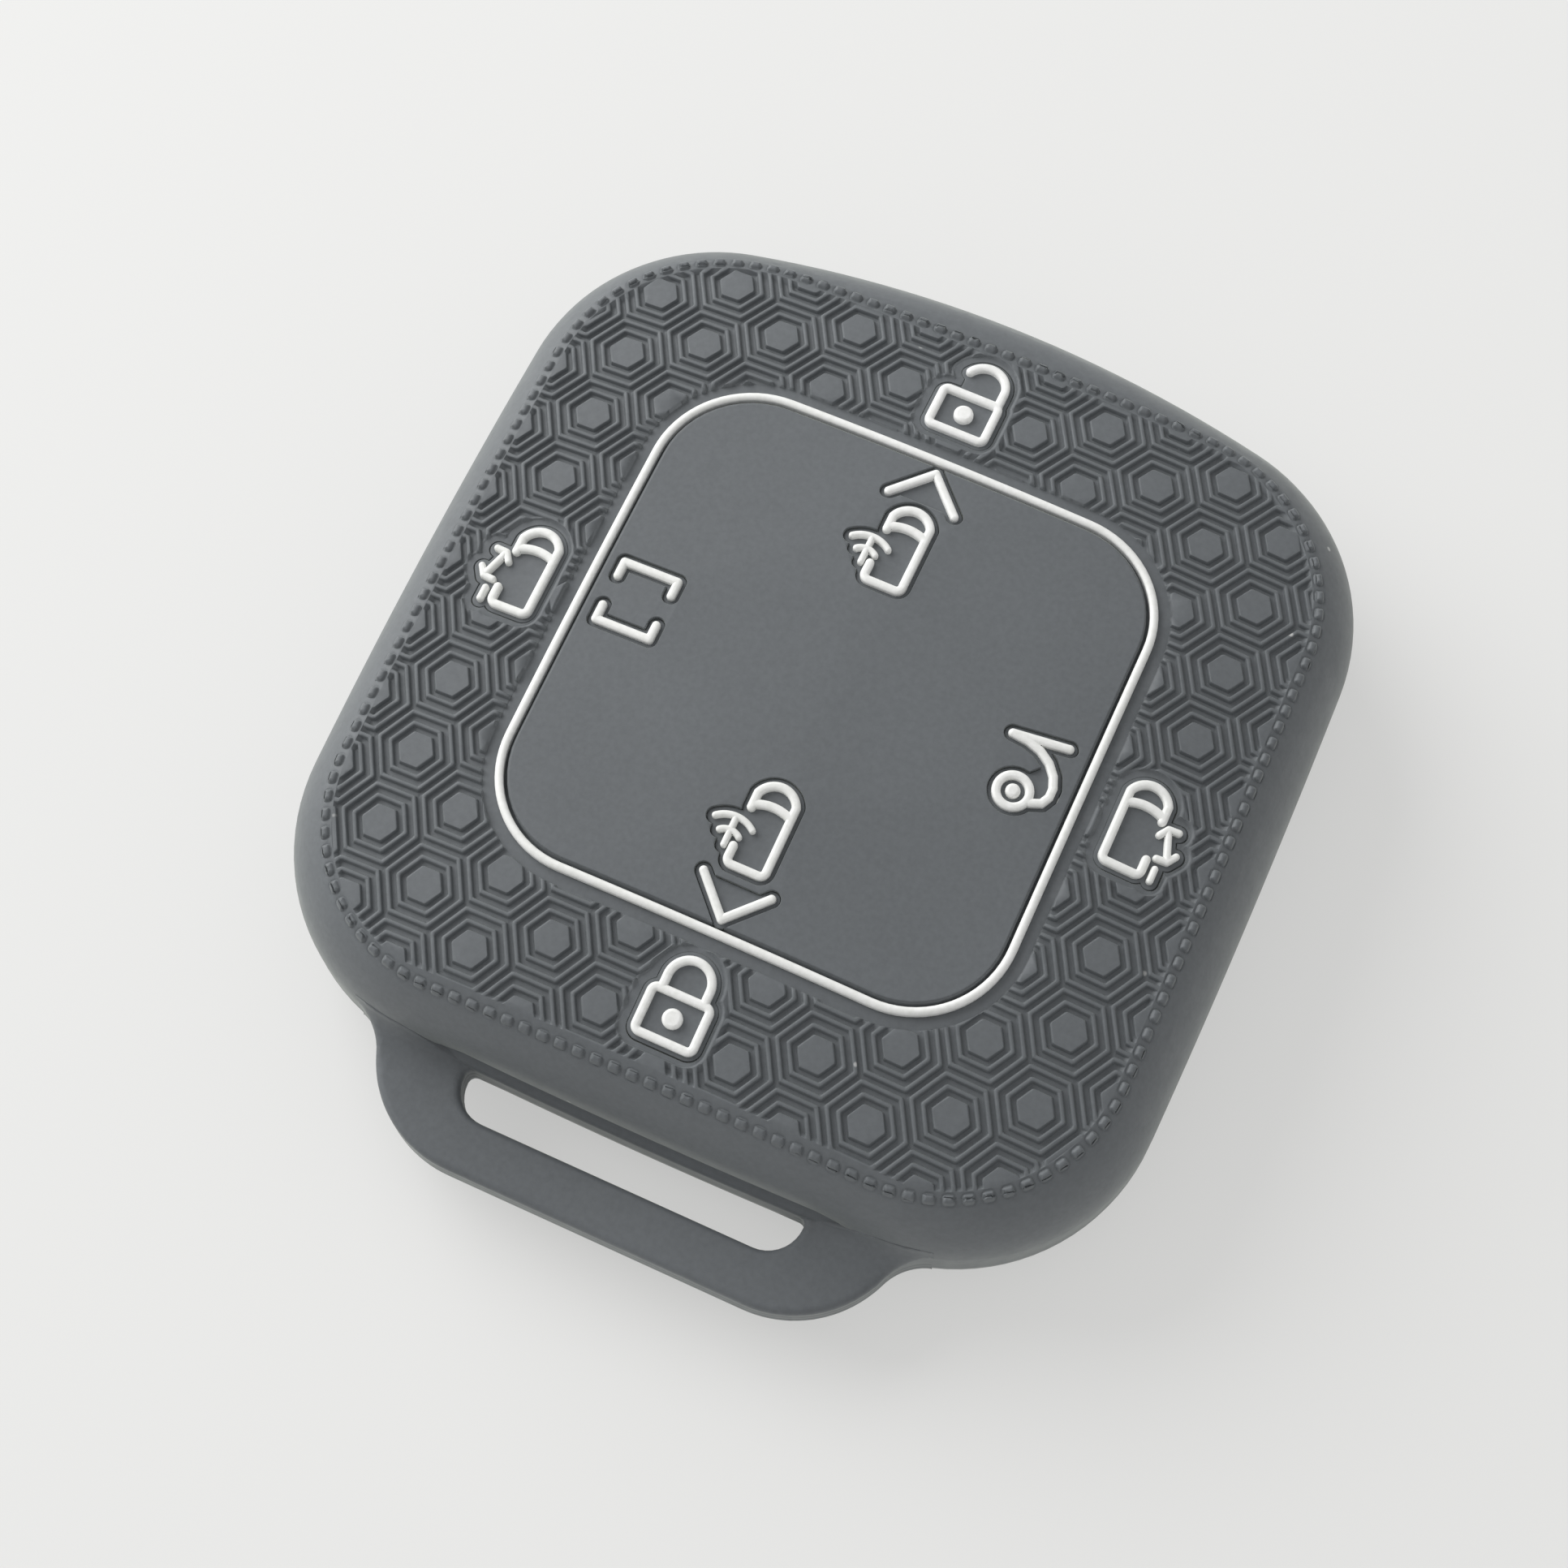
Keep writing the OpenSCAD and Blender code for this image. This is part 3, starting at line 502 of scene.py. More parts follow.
def car_area():
    x = CAR_W / 2
    r = (x * x + BONNET_BOW ** 2) / (2 * BONNET_BOW)
    turn = math.asin(x / r)
    front = [(r * math.sin(t), -r + r * math.cos(t)) for t in np.linspace(-turn, turn, 13)]
    return area([(x, -CAR_L), (-x, -CAR_L)] + front)


def chevron_points(up):
    return (-CHEVRON_X, -CHEVRON_Y * up), (0, 0), (CHEVRON_X, -CHEVRON_Y * up)


def waves():
    arcs = [arc((0, 0), r, WAVE_START, WAVE_END) for r in (WAVE_R, WAVE_R * WAVE_INNER)]
    return union(*arcs, line((0, 0), (0, WAVE_R)))


def waves_area():
    return area([(0, 0)] + [polar(WAVE_R, t) for t in turns(WAVE_START, WAVE_END, 7)])


def arrow():
    u, w = (polar(ARROW_ARM, t) for t in np.radians(ARROW_TURNS))
    top, low = ARROW_TOP, ARROW_LOW
    return union(line(top + u, top, top + w), line(low - u, low, low - w), line(top, low))


def arrow_area():
    return area([(0, ARROW_TOP[1]), ARROW_TOP, ARROW_LOW, SILL[1], (0, SILL[1][1])])


def bracket(up):
    x, y = BAY_W / 2, BAY_H / 2
    return line((-x, up * (y - BAY_LEG)), (-x, up * y), (x, up * y), (x, up * (y - BAY_LEG)))


def hook():
    return union(circle((0, 0), WHEEL_R), line(*HOOK), line(HOOK[-1], GATE_TIP))


def hook_area():
    return union(disc((0, 0), WHEEL_R), area([(0, WHEEL_R)] + [tuple(p) for p in HOOK[:HOOK_ROOM]]))


# Keys
class Key:
    """A press pad and its marks. Each mark is its node, its drawing in the key's frame and its stroke."""

    def __init__(self, name, at, marks, areas, boss, mirror=1):
        self.name, self.at, self.marks, self.boss = name, at, marks, boss
        x, y = at
        z = float(crown(x, y))
        turn = math.acos((z - HEIGHT + CROWN_R) / CROWN_R)
        tilt = Matrix.Rotation(turn, 4, Vector((-y, x, 0)).normalized())
        self.frame = Matrix.Translation((x, y, z)) @ tilt @ Matrix.Diagonal((mirror, 1, 1, 1))
        self.strokes = union(*[drawing for _, drawing, _ in marks])
        self.area = union(*areas) if areas else None

    def pocket(self, u, v):
        """Distance outside the pocket's wall."""
        wall = self.strokes(u, v) - POCKET_W / 2
        return np.minimum(wall, self.area(u, v)) if self.area else wall

    def around(self, x, y, depth=0.0):
        """Distance outside the pocket's wall for plan places, at a depth below the key's own plane."""
        m = np.array(self.frame)
        inverse = np.linalg.inv(m[:2, :2])
        dx, dy = x - m[0, 3] + depth * m[0, 2], y - m[1, 3] + depth * m[1, 2]
        return self.pocket(inverse[0, 0] * dx + inverse[0, 1] * dy, inverse[1, 0] * dx + inverse[1, 1] * dy)

    def to_plan(self, uv, depth):
        p = np.column_stack([uv, np.full(len(uv), -depth), np.ones(len(uv))])
        return (p @ np.array(self.frame).T)[:, :2]

    def room(self):
        """A box around the boss and the pocket."""
        left, low, right, top = self.boss
        return (left - KEY_ROOM, right + KEY_ROOM, low - KEY_ROOM, top + KEY_ROOM)


KEY_ROOM, KEY_SIDE, KEY_UP = 1.2, 5, 7
CAR_SHIFT, REMOTE_X, REMOTE_Y = 0.17, -1.944, -4.98
DOOR_CAR = (0.675, 3.0)
DOOR_BOSS = (-2.505, -3.48, 2.505, 3.48)
WHEEL = (0, -2.1)


def padlock_key(name, at, shackle, x, leg, boss_top):
    marks = [(name + "_padlock", union(padlock_case(), shackle), STROKE),
             (name + "_keyhole", disc((0, 0), 0), KEYHOLE_D)]
    return Key(name, at, marks, [padlock_area(x, leg)], (-2.505, -2.04, 2.505, boss_top))


def drive_key(name, at, car_y, tip_y, up, boss_y):
    points = chevron_points(up)
    front, tip = (CAR_SHIFT, car_y), (CAR_SHIFT, tip_y)
    foot = (CAR_SHIFT + REMOTE_X, car_y + REMOTE_Y)
    marks = [(name + "_car", moved(car(), *front), STROKE),
             (name + "_chevron", moved(line(*points), *tip), STROKE),
             (name + "_remote_mark", moved(waves(), *foot), THIN_STROKE)]
    areas = [moved(car_area(), *front), moved(area(points), *tip), moved(waves_area(), *foot)]
    return Key(name, at, marks, areas, (-3.4, -boss_y, 3.05, boss_y))


def door_key(name, at, mirror):
    marks = [(name + "_car", moved(car(), *DOOR_CAR), STROKE),
             (name + "_arrow", moved(arrow(), *DOOR_CAR), ARROW_STROKE),
             (name + "_sill", moved(line(*SILL), *DOOR_CAR), ARROW_STROKE)]
    areas = [moved(car_area(), *DOOR_CAR), moved(arrow_area(), *DOOR_CAR)]
    return Key(name, at, marks, areas, DOOR_BOSS, mirror)


def bay_key():
    marks = [("bay_top_bracket", bracket(1), STROKE), ("bay_bottom_bracket", bracket(-1), STROKE)]
    return Key("bay", (-14.225, 0.5), marks, [], (-2.455, -2.73, 2.455, 2.73))


def tailgate_key():
    marks = [("tailgate_hook", moved(hook(), *WHEEL), STROKE), ("tailgate_hub", disc(WHEEL, 0), HUB_D)]
    return Key("tailgate", (13.75, 0.5), marks, [moved(hook_area(), *WHEEL)], (-2.034, -3.68, 2.748, 2.58))


KEYS = [
    padlock_key("unlock", (0, 22.31), open_shackle(), OPEN_SHIFT, OPEN_LEG, 4.67),
    padlock_key("lock", (0, -24.26), closed_shackle(), 0, CLOSED_LEG, 4.47),
    drive_key("forward", (0, 12.6), 1.4, 4.6, 1, 5.08),
    drive_key("back", (0, -12.425), 4.775, -4.775, -1, 5.255),
    door_key("left_door", (-22.675, -0.3), 1),
    door_key("right_door", (22.675, -0.3), -1),
    bay_key(),
    tailgate_key(),
]

# The face's pattern: heights are measured from the crowned face
EDGE, RING_STEP = 0.06, 0.9
CHANNEL, GAP_DEPTH = 0.38, 0.62
CHANNEL_OUT, CHANNEL_IN = BEAD / 2 + 0.82, BEAD / 2 + 0.16
RECESS, RECESS_DEPTH, RECESS_SHIFT, RECESS_BAND = 0.4, 0.27, 0.2, 0.2
PITCH, COLUMN, CELL_Y = 5.36, 4.642, 1.5
COLUMNS, ROWS = range(-7, 8), range(-7, 7)
GROOVE = 0.33
PLATEAU, PLATEAU_EDGE = 1.14, ((-0.06, 0), (-0.01, -0.04), (0.06, 0.04 - GROOVE), (0.1, -GROOVE))
RIDGES, RIDGE_SIDE = (1.66, 2.36), ((0.07, 0), (0.13, -0.06), (0.19, 0.05 - GROOVE), (0.23, -GROOVE))
CORNER_CUT, OVERRUN = 0.08, 0.8
PATTERN_END, PATTERN_LOW, PATTERN_EDGE, PATTERN_REACH = 0.62, 27.5, 0.16, 32
PATTERN_ZONE = (-30, 30, -30, 30)
ROW_X, ROW_TOP, ROW_LOW, ROW_R, ROW_STEP, ROW_START = 27.8, 28.0, 28.4, 12.3, 0.25, 0.75
BUMP_PITCH, BUMP_L, BUMP_W, BUMP_R, BUMP_LEAST_R = 1.27, 0.84, 0.62, 0.2, 0.06
BUMP_LEVELS = ((-0.12, 0), (-0.05, -0.05), (0, -0.04), (0.06, 0.15), (0.13, 0.23), (0.24, 0.27))
BUMP_TILT = 0.45


def profile_knots():
    """The nested hexagons' profile: distances from a cell's middle, and heights."""
    knots = [(0, 0)] + [(PLATEAU + d, h) for d, h in PLATEAU_EDGE]
    for middle in RIDGES:
        knots += [(middle - d, h) for d, h in reversed(RIDGE_SIDE)]
        knots += [(middle + d, h) for d, h in RIDGE_SIDE]
    return np.array(knots).T


KNOT_D, KNOT_H = profile_knots()


def cell_start(column):
    """Every other column of cells starts half a pitch higher."""
    return np.where(column % 2 == 1, CELL_Y, CELL_Y + PITCH / 2)


def honeycomb(x, y):
    nearest = np.inf
    left = np.floor(x / COLUMN)
    for column in (left, left + 1):
        start = cell_start(column)
        across = abs(x - column * COLUMN)
        along = abs(y - (start + PITCH * np.round((y - start) / PITCH)))
        nearest = np.minimum(nearest, np.maximum(along, across * math.cos(math.pi / 6) + along / 2))
    return np.interp(nearest, KNOT_D, KNOT_H)


def ring_distance(x, y):
    return rounded_distance(x, y, -RING_LOW, RING_TOP, RING_W / 2, RING_R)


def ring_line(out, step=RING_STEP):
    p, n = rounded_line(-RING_LOW, RING_TOP, RING_W / 2, RING_R, step)
    return p + out * n


def row_distance(x, y):
    return rounded_distance(x, y, -ROW_LOW, ROW_TOP, ROW_X, ROW_R)


OUTER_KEYS = [key for key in KEYS if ring_distance(*key.at) > 0]


def recess_distance(key, x, y):
    """Distance outside the recessed field around an outer key's mark."""
    return key.around(x + RECESS_SHIFT, y) - RECESS


def pattern_distance(x, y):
    """Distance inside the honeycomb's zone, which ends beside the bumps and at the marks' recesses."""
    d = np.minimum(-row_distance(x, y) - PATTERN_END, y + PATTERN_LOW)
    for key in OUTER_KEYS:
        d = np.minimum(d, key.around(x, y) - RECESS - RECESS_BAND)
    return d


def ramp_up(d, half):
    return np.clip(0.5 + d / (2 * half), 0, 1)


def relief(x, y):
    """Height of the pattern, the marks' recesses and the ring's channel against the crowned face."""
    h = np.zeros(np.shape(x))
    for key in OUTER_KEYS:
        h = -RECESS_DEPTH + (h + RECESS_DEPTH) * ramp_up(recess_distance(key, x, y), EDGE)
    h = h + (honeycomb(x, y) - h) * ramp_up(pattern_distance(x, y), PATTERN_EDGE)
    out = ring_distance(x, y)
    h = -CHANNEL + (h + CHANNEL) * ramp_up(out - CHANNEL_OUT, EDGE)
    h = np.where(out < 0, np.interp(-out, (0, CHANNEL_IN - EDGE / 2), (-CHANNEL, -GAP_DEPTH)), h)
    return np.where(out > -CHANNEL_IN, h, 0.0)


def cell_sides():
    """Starts and ends of the hexagon sides at each knot of the profile, with cut corners."""
    starts, ends = [], []
    sixths = np.radians(np.arange(6) * 60)
    directions = np.stack([np.cos(sixths), np.sin(sixths)], 1)
    for column in COLUMNS:
        for row in ROWS:
            middle = np.array((column * COLUMN, cell_start(column) + PITCH * row))
            if np.any(np.abs(middle) > PATTERN_REACH):
                continue
            for d in KNOT_D[1:]:
                r = d / math.cos(math.pi / 6)
                corners = middle + r * directions
                following = np.roll(corners, -1, 0)
                cut = min(CORNER_CUT, 0.3 * r) / r
                a, b = corners + (following - corners) * cut, following + (corners - following) * cut
                starts += [a, b]
                ends += [b, np.roll(a, -1, 0)]
    return np.concatenate(starts), np.concatenate(ends)


def stretches_inside(t, room):
    """The stretches of t where there is room, with their ends set between the samples."""
    inside = room > 0
    i, last = 0, len(t) - 1
    while i <= last:
        if not inside[i]:
            i += 1
            continue
        j = i
        while j < last and inside[j + 1]:
            j += 1
        low = t[i] if i == 0 else t[i] - (t[i] - t[i - 1]) * room[i] / (room[i] - room[i - 1])
        high = t[j] if j == last else t[j] + (t[j + 1] - t[j]) * room[j] / (room[j] - room[j + 1])
        yield low, high
        i = j + 1


def honeycomb_lines():
    """The pattern's hexagon sides, cut where the pattern's zone ends."""
    starts, ends = cell_sides()
    t = np.linspace(0, 1, 41)
    p = starts[:, None] + (ends - starts)[:, None] * t[None, :, None]
    x, y = p[..., 0], p[..., 1]
    room = np.minimum(pattern_distance(x, y) + OVERRUN * PATTERN_EDGE,
                      ring_distance(x, y) - CHANNEL_OUT + OVERRUN * EDGE)
    out = []
    for a, b, here in zip(starts, ends, room):
        if (here > 0).all():
            out.append(np.array((a, b)))
        else:
            out += [np.array((a + (b - a) * low, a + (b - a) * high))
                    for low, high in stretches_inside(t, here) if high - low > 1e-3]
    return out


def bump(centre, along, outward):
    """Nested rounded rectangles at their heights: a ditch and a bump that leans back."""
    lines = []
    for inset, height in BUMP_LEVELS:
        r = max(BUMP_R - inset, BUMP_LEAST_R)
        half = np.array((BUMP_L, BUMP_W)) / 2 - inset - r
        quarter = np.array([polar(r, t) for t in turns(0, 90, 3)])
        right = np.concatenate([half * (1, -1) + quarter[::-1] * (1, -1), half + quarter])
        uv = np.concatenate([right, -right])
        place = centre + uv[:, :1] * along + uv[:, 1:] * outward
        lines.append((place, height + BUMP_TILT * uv[:, 1] * (height > 0)))
    return lines


def bump_lines():
    """The row of bumps beside the shoulder."""
    p, n = rounded_line(-ROW_LOW, ROW_TOP, ROW_X, ROW_R, ROW_STEP)
    sides = np.linalg.norm(np.roll(p, -1, 0) - p, axis=1)
    at = np.concatenate([[0], np.cumsum(sides)])
    p, n = np.concatenate([p, p[:1]]), np.concatenate([n, n[:1]])
    count = round(at[-1] / BUMP_PITCH)
    lines = []
    for s in at[-1] * (np.arange(count) + ROW_START) / count:
        centre, outward = (np.array([np.interp(s, at, q[:, k]) for k in (0, 1)]) for q in (p, n))
        outward /= np.linalg.norm(outward)
        lines += bump(centre, np.array((-outward[1], outward[0])), outward)
    return lines


# The cover's face and its ceiling
LOW_ANGLE = math.radians(30)
FACE_ANGLES = (38, 46, 54, 62, 70, 80)
CEILING_ANGLES = (45, 60, 75, 90)
RIM_DROP, RIM_W = 0.04, 0.05
FACE_ZONE, FACE_IN = (-30, 30, -32, 32), 0.2
ZONE_STEP, ZONE_TOLERANCE, ZONE_SIDE = 0.12, 0.006, 0.7
# Loose points go on plain stretches only, this far from the pattern, shoulder, bumps and pockets
SPOT_STEP, OFF_PATTERN, OFF_SHOULDER, OFF_ROW, OFF_POCKET = 1.6, 0.5, 0.6, 0.7, 0.3
CEILING_ZONE, CEILING_STEP = (-26, 26, -28, 28), 4


def shoulder_inset(angle):
    return SHOULDER * (1 - math.cos(angle))


def inner_inset(angle):
    return WALL + INNER_SHOULDER * (1 - math.cos(angle))


def closed_lines(loops):
    return [(p, True, None) for p in loops]


def rim_lines(holes):
    """The pockets' edges in the face, dropped a little, and a line close around each."""
    lines = []
    for key, edge, rim in holes:
        for loops, drop in ((edge, RIM_DROP), (rim, 0)):
            for uv in loops:
                p = key.to_plan(uv, 0)
                lines.append((p, True, relief(p[:, 0], p[:, 1]) - drop))
    return lines


def face_lines(holes):
    lines = closed_lines(plan(shoulder_inset(a)) for a in (LOW_ANGLE, *np.radians(FACE_ANGLES)))
    lines += closed_lines([plan(SHOULDER + FACE_IN)])
    lines += [(p, False, None) for p in honeycomb_lines()]
    for loops in contours(pattern_distance, (PATTERN_EDGE, -PATTERN_EDGE), PATTERN_ZONE, ZONE_STEP,
                          ZONE_TOLERANCE):
        lines += closed_lines(with_steps(p, ZONE_SIDE) for p in loops)
    for key in OUTER_KEYS:
        x, y = key.at
        zone = (x - KEY_SIDE, x + KEY_SIDE, y - KEY_SIDE, y + KEY_UP)
        for loops in contours(lambda x, y: recess_distance(key, x, y), (EDGE, -EDGE), zone):
            lines += closed_lines(loops)
    channel = (CHANNEL_OUT + EDGE, CHANNEL_OUT - EDGE, 0,
               EDGE / 2 - CHANNEL_IN, -CHANNEL_IN - EDGE / 2, -CHANNEL_IN - 3 * EDGE)
    lines += closed_lines(ring_line(out) for out in channel)
    lines += [(p, True, h) for p, h in bump_lines()]
    return lines + rim_lines(holes)


def outside_pockets(x, y, inset, depth):
    """Where the skin is whole at a depth, further inside the outline than an inset."""
    ok = inset_at(x, y) > inset
    for key in KEYS:
        ok &= key.around(x, y, depth) > 0
    return ok


def add_face(piece, holes):
    low = shoulder_inset(LOW_ANGLE)
    spots = grid(FACE_ZONE, SPOT_STEP)
    plain = (pattern_distance(*spots.T) < -OFF_PATTERN) & (inset_at(*spots.T) > low + OFF_SHOULDER)
    plain &= np.abs(row_distance(*spots.T)) > OFF_ROW
    for key in KEYS:
        plain &= key.around(*spots.T) > OFF_POCKET
    v, faces, h = fill_surface(face_lines(holes), spots[plain], lambda x, y: outside_pockets(x, y, low, 0))
    x, y = v.T
    h = np.where(np.isnan(h), relief(x, y), h)
    piece.add(at_height(v, body_top(x, y) + h), faces)


def add_ceiling(piece, holes):
    low = inner_inset(LOW_ANGLE)
    lines = closed_lines(plan(inner_inset(a)) for a in (LOW_ANGLE, *np.radians(CEILING_ANGLES)))
    for key, edge, _ in holes:
        lines += closed_lines(key.to_plan(uv, SKIN) for uv in edge)
    spots = grid(CEILING_ZONE, CEILING_STEP)
    spots = spots[inset_at(*spots.T) > WALL + INNER_SHOULDER + 1]
    v, faces, _ = fill_surface(lines, spots, lambda x, y: outside_pockets(x, y, low, SKIN))
    piece.add(at_height(v, ceiling(*v.T)), faces[:, ::-1])


def add_pocket_walls(piece, holes):
    for key, edge, _ in holes:
        for uv in edge:
            top, low = key.to_plan(uv, 0), key.to_plan(uv, SKIN)
            rim = at_height(top, body_top(*top.T) + relief(*top.T) - RIM_DROP)
            piece.loft([rim, at_height(low, ceiling(*low.T))])


# The cover's sides, heel, lip and inner walls
LOW_STEPS = 6
HOLLOW, HOLLOW_END, HOLLOW_FADE = 0.6, 16.5, 3.5
HOLLOW_FOOT = ((1, WALL_TOP + 0.25), (0.8, WALL_TOP - 0.1), (0.3, WALL_TOP - 0.4), (0.0, WALL_TOP - 0.65))
SEAM = 0.012
SEAM_LEVELS = ((SEAM, WALL_TOP - 1.1), (SEAM, PARTING + 0.09), (0, PARTING + 0.04),
               (0, PARTING - 0.04), (SEAM, PARTING - 0.09))
SEAM_TURN = 1
LIP_ROUND = 0.3


def beside_slot(x, y):
    """1 beside the strap slot, where the body has a hollow and a lip, and 0 beyond its ends."""
    t = np.clip((HOLLOW_END - np.abs(x)) / HOLLOW_FADE, 0, 1) * (y < 0)
    return t * t * (3 - 2 * t)


def shoulder_height(p, depth, angle):
    return WALL_TOP + (crown(*p.T, depth) + RISE - WALL_TOP) * math.sin(angle)


def hollowed(inset, hollow, z):
    """The outline at an inset, drawn in further beside the slot."""
    p, q = plan(inset), plan(inset + hollow)
    return at_height(p + (q - p) * beside_slot(*p.T)[:, None], z)


def shoulder_rings():
    """Rings from the face's edge down the shoulder, with the hollow beside the slot."""
    rings = []
    for i in range(LOW_STEPS):
        angle = LOW_ANGLE * (1 - i / LOW_STEPS)
        inset, hollow = shoulder_inset(angle), HOLLOW * (i / LOW_STEPS) ** 1.5
        rings.append(hollowed(inset, hollow, shoulder_height(plan(inset), 0, angle)))
    return rings + [hollowed(0, HOLLOW * share, z) for share, z in HOLLOW_FOOT]


def body_rings():
    """Rings of the body from the shoulder down round the heel and the lip, and up inside to the ceiling."""
    rings = shoulder_rings()
    levels = list(SEAM_LEVELS)
    for t in turns(80, 0, 9):
        levels.append((HEEL * (1 - math.sin(t)) + SEAM * (t > SEAM_TURN), PARTING * (1 - math.cos(t))))
    edge, quarter = LIP_ROUND, turns(0, 90, 4)
    levels += [(RIM - edge + edge * math.sin(t), edge - edge * math.cos(t)) for t in quarter]
    levels += [(RIM - edge + edge * math.cos(t), LIP - edge + edge * math.sin(t)) for t in quarter]
    levels += [(WALL + LIP / 2, LIP), (WALL, 2 * LIP), (WALL, WALL_TOP)]
    rings += [at_height(plan(inset), z) for inset, z in levels]
    for i in range(1, 4):
        angle = LOW_ANGLE * i / 3
        p = plan(inner_inset(angle))
        rings.append(at_height(p, shoulder_height(p, SKIN, angle)))
    return rings


# The strap loop
LOOP_EDGE, LOOP_STEPS = 0.5, (0, 0.04, 0.13, 0.27, 0.5)
LOOP_FILLET, FILLET_IN, FILLET_STEPS = 2.4, 0.12, (0, 0.02, 0.06, 0.14, 0.26, 0.42, 0.65, 1)
RIB_HEIGHTS, RIB_OUT, RIB_HALF = (1.95, 1.15), 0.05, 0.06
LOOP_ZONE = (-24, 24, -LOOP_END - 0.3, -22)


def heading(a, b):
    return math.atan2(b[1] - a[1], b[0] - a[0])


def loop_outline():
    """The loop's right half from the middle of its end to the body's wall, mirrored to close it."""
    end, body = np.array((LOOP_X, LOOP_R - LOOP_END)), STRAP.corner * (1, -1)
    root = meeting_point(end, LOOP_R + ROOT_R, body, STRAP.corner_r + ROOT_R, -1)
    half = [np.array((0, -LOOP_END))] + arc_line(end, LOOP_R, -math.pi / 2, heading(end, root), 22)
    start, stop = heading(root, end), heading(root, body)
    half += arc_line(root, ROOT_R, start, stop - 2 * math.pi if stop > start else stop, 12)[1:]
    wall = STRAP.points(WALL / 2) * (1, -1)
    half += list(wall[wall[:, 0] < half[-1][0]])
    right = np.array(half)
    return np.concatenate([right, right[-2:0:-1] * (-1, 1)])


def slot_outline():
    """The slot's right half, mirrored to close it. Its corners are rounder away from the body."""
    half, far, near = SLOT_L / 2, SLOT_FAR_R, SLOT_NEAR_R
    right = arc_line((half - far, -SLOT_FAR - far), far, math.pi / 2, 0, 4)
    right += arc_line((half - near, -SLOT_NEAR + near), near, 0, -math.pi / 2, 10)
    p = np.array(right)
    return np.concatenate([p, p[::-1] * (-1, 1)])


def edge_height(e, r):
    """How far a rounded edge of radius r lies off the flat, at a distance e from the edge."""
    return r - np.sqrt(np.maximum(r * r - (r - np.clip(e, 0, r)) ** 2, 0))


def plate_rise(x, y):
    """The concave blend from the loop up to the body's wall."""
    return edge_height(FILLET_IN - inset_at(x, y), LOOP_FILLET) * (1 - beside_slot(x, y))


def add_loop_edge(piece, p):
    """The loop's upright edge along one line, with its two ribs."""
    along = np.roll(p, -1, 0) - np.roll(p, 1, 0)
    outward = np.column_stack([-along[:, 1], along[:, 0]]) / np.linalg.norm(along, axis=1)[:, None]
    rings = [at_height(p, PLATE_Z + PLATE_T - LOOP_EDGE + plate_rise(*p.T))]
    for height in RIB_HEIGHTS:
        for out, up in ((0, RIB_HALF), (RIB_OUT, 0), (0, -RIB_HALF)):
            rings.append(at_height(p + out * outward, PLATE_Z + height + up))
    piece.loft(rings + [at_height(p, PLATE_Z + LOOP_EDGE)])


def add_loop(piece):
    outer, slot = area(loop_outline()), area(slot_outline())

    def inside(x, y):
        return np.minimum(-outer(x, y), slot(x, y))
    loops = contours(lambda x, y: -inside(x, y), [-e for e in LOOP_STEPS], LOOP_ZONE, 2 * LEVEL_STEP)
    lines = closed_lines(p for side in loops for p in side)
    lines += closed_lines(plan(FILLET_IN - LOOP_FILLET * share) for share in FILLET_STEPS)
    v, faces, _ = fill_surface(lines, [], lambda x, y: inside(x, y) > 0)
    drop = edge_height(inside(*v.T), LOOP_EDGE)
    piece.add(at_height(v, PLATE_Z + PLATE_T - drop + plate_rise(*v.T)), faces)
    piece.add(at_height(v, PLATE_Z + drop), faces[:, ::-1])
    for p in loops[0]:
        add_loop_edge(piece, p)


# Pads, marks and the ring
PAD_PLAY, PAD_STEPS, PAD_EDGE, PAD_SINK = 0.02, (0.0, 0.06, 0.2), 0.03, 0.1
BOSS_TOP, BOSS_LOW, BOSS_R, BOSS_EDGE, BOSS_STEP = SKIN + 0.25, SKIN + 1.05, 0.6, 0.08, 0.3
MARK_SINK, MARK_RISE, MARK_SHOULDER, MARK_STEPS = 0.3, 0.16, -0.06, (0, 0.08, 0.25, 0.5, 0.75)
BEAD_PLAY, BEAD_FOOT, BEAD_RISE, BEAD_SEAT, BEAD_STEP = 0.06, -0.1, 0.26, 0.03, 0.6


def add_top(piece, sides, heights, keep):
    """A top face through level lines at their heights. It is as high as the highest inside them."""
    lines = [(p, True, h) for h, loops in zip(heights, sides) for p in loops]
    v, faces, h = fill_surface(lines, [], keep)
    piece.add(at_height(v, np.where(np.isnan(h), max(heights), h)), faces)


def add_boss(piece, boss):
    left, low, right, top = boss
    middle = (low + top) / 2
    p, _ = rounded_line(low - middle, top - middle, (right - left) / 2, BOSS_R, BOSS_STEP)
    centre = np.array(((left + right) / 2, middle))
    levels = ((0.001, -BOSS_TOP), (0.97, -BOSS_TOP), (1, -BOSS_TOP - BOSS_EDGE),
              (1, BOSS_EDGE - BOSS_LOW), (0.97, -BOSS_LOW), (0.001, -BOSS_LOW))
    piece.loft([at_height(centre + p * share, z) for share, z in levels])


def make_pad(key, material):
    piece = Piece()
    sides = contours(key.pocket, [-PAD_PLAY - s for s in PAD_STEPS], key.room())
    heights = (-POCKET - PAD_EDGE, -POCKET, -POCKET)
    add_top(piece, sides, heights, lambda x, y: key.pocket(x, y) < -PAD_PLAY)
    for p in sides[0]:
        piece.loft([at_height(p, heights[0]), at_height(p, -BOSS_TOP - PAD_SINK)])
    add_boss(piece, key.boss)
    piece.place(key.name + "_pad_skin", key.name + "_key", key.name + "_pad", "grey_silicone", material,
                key.frame)


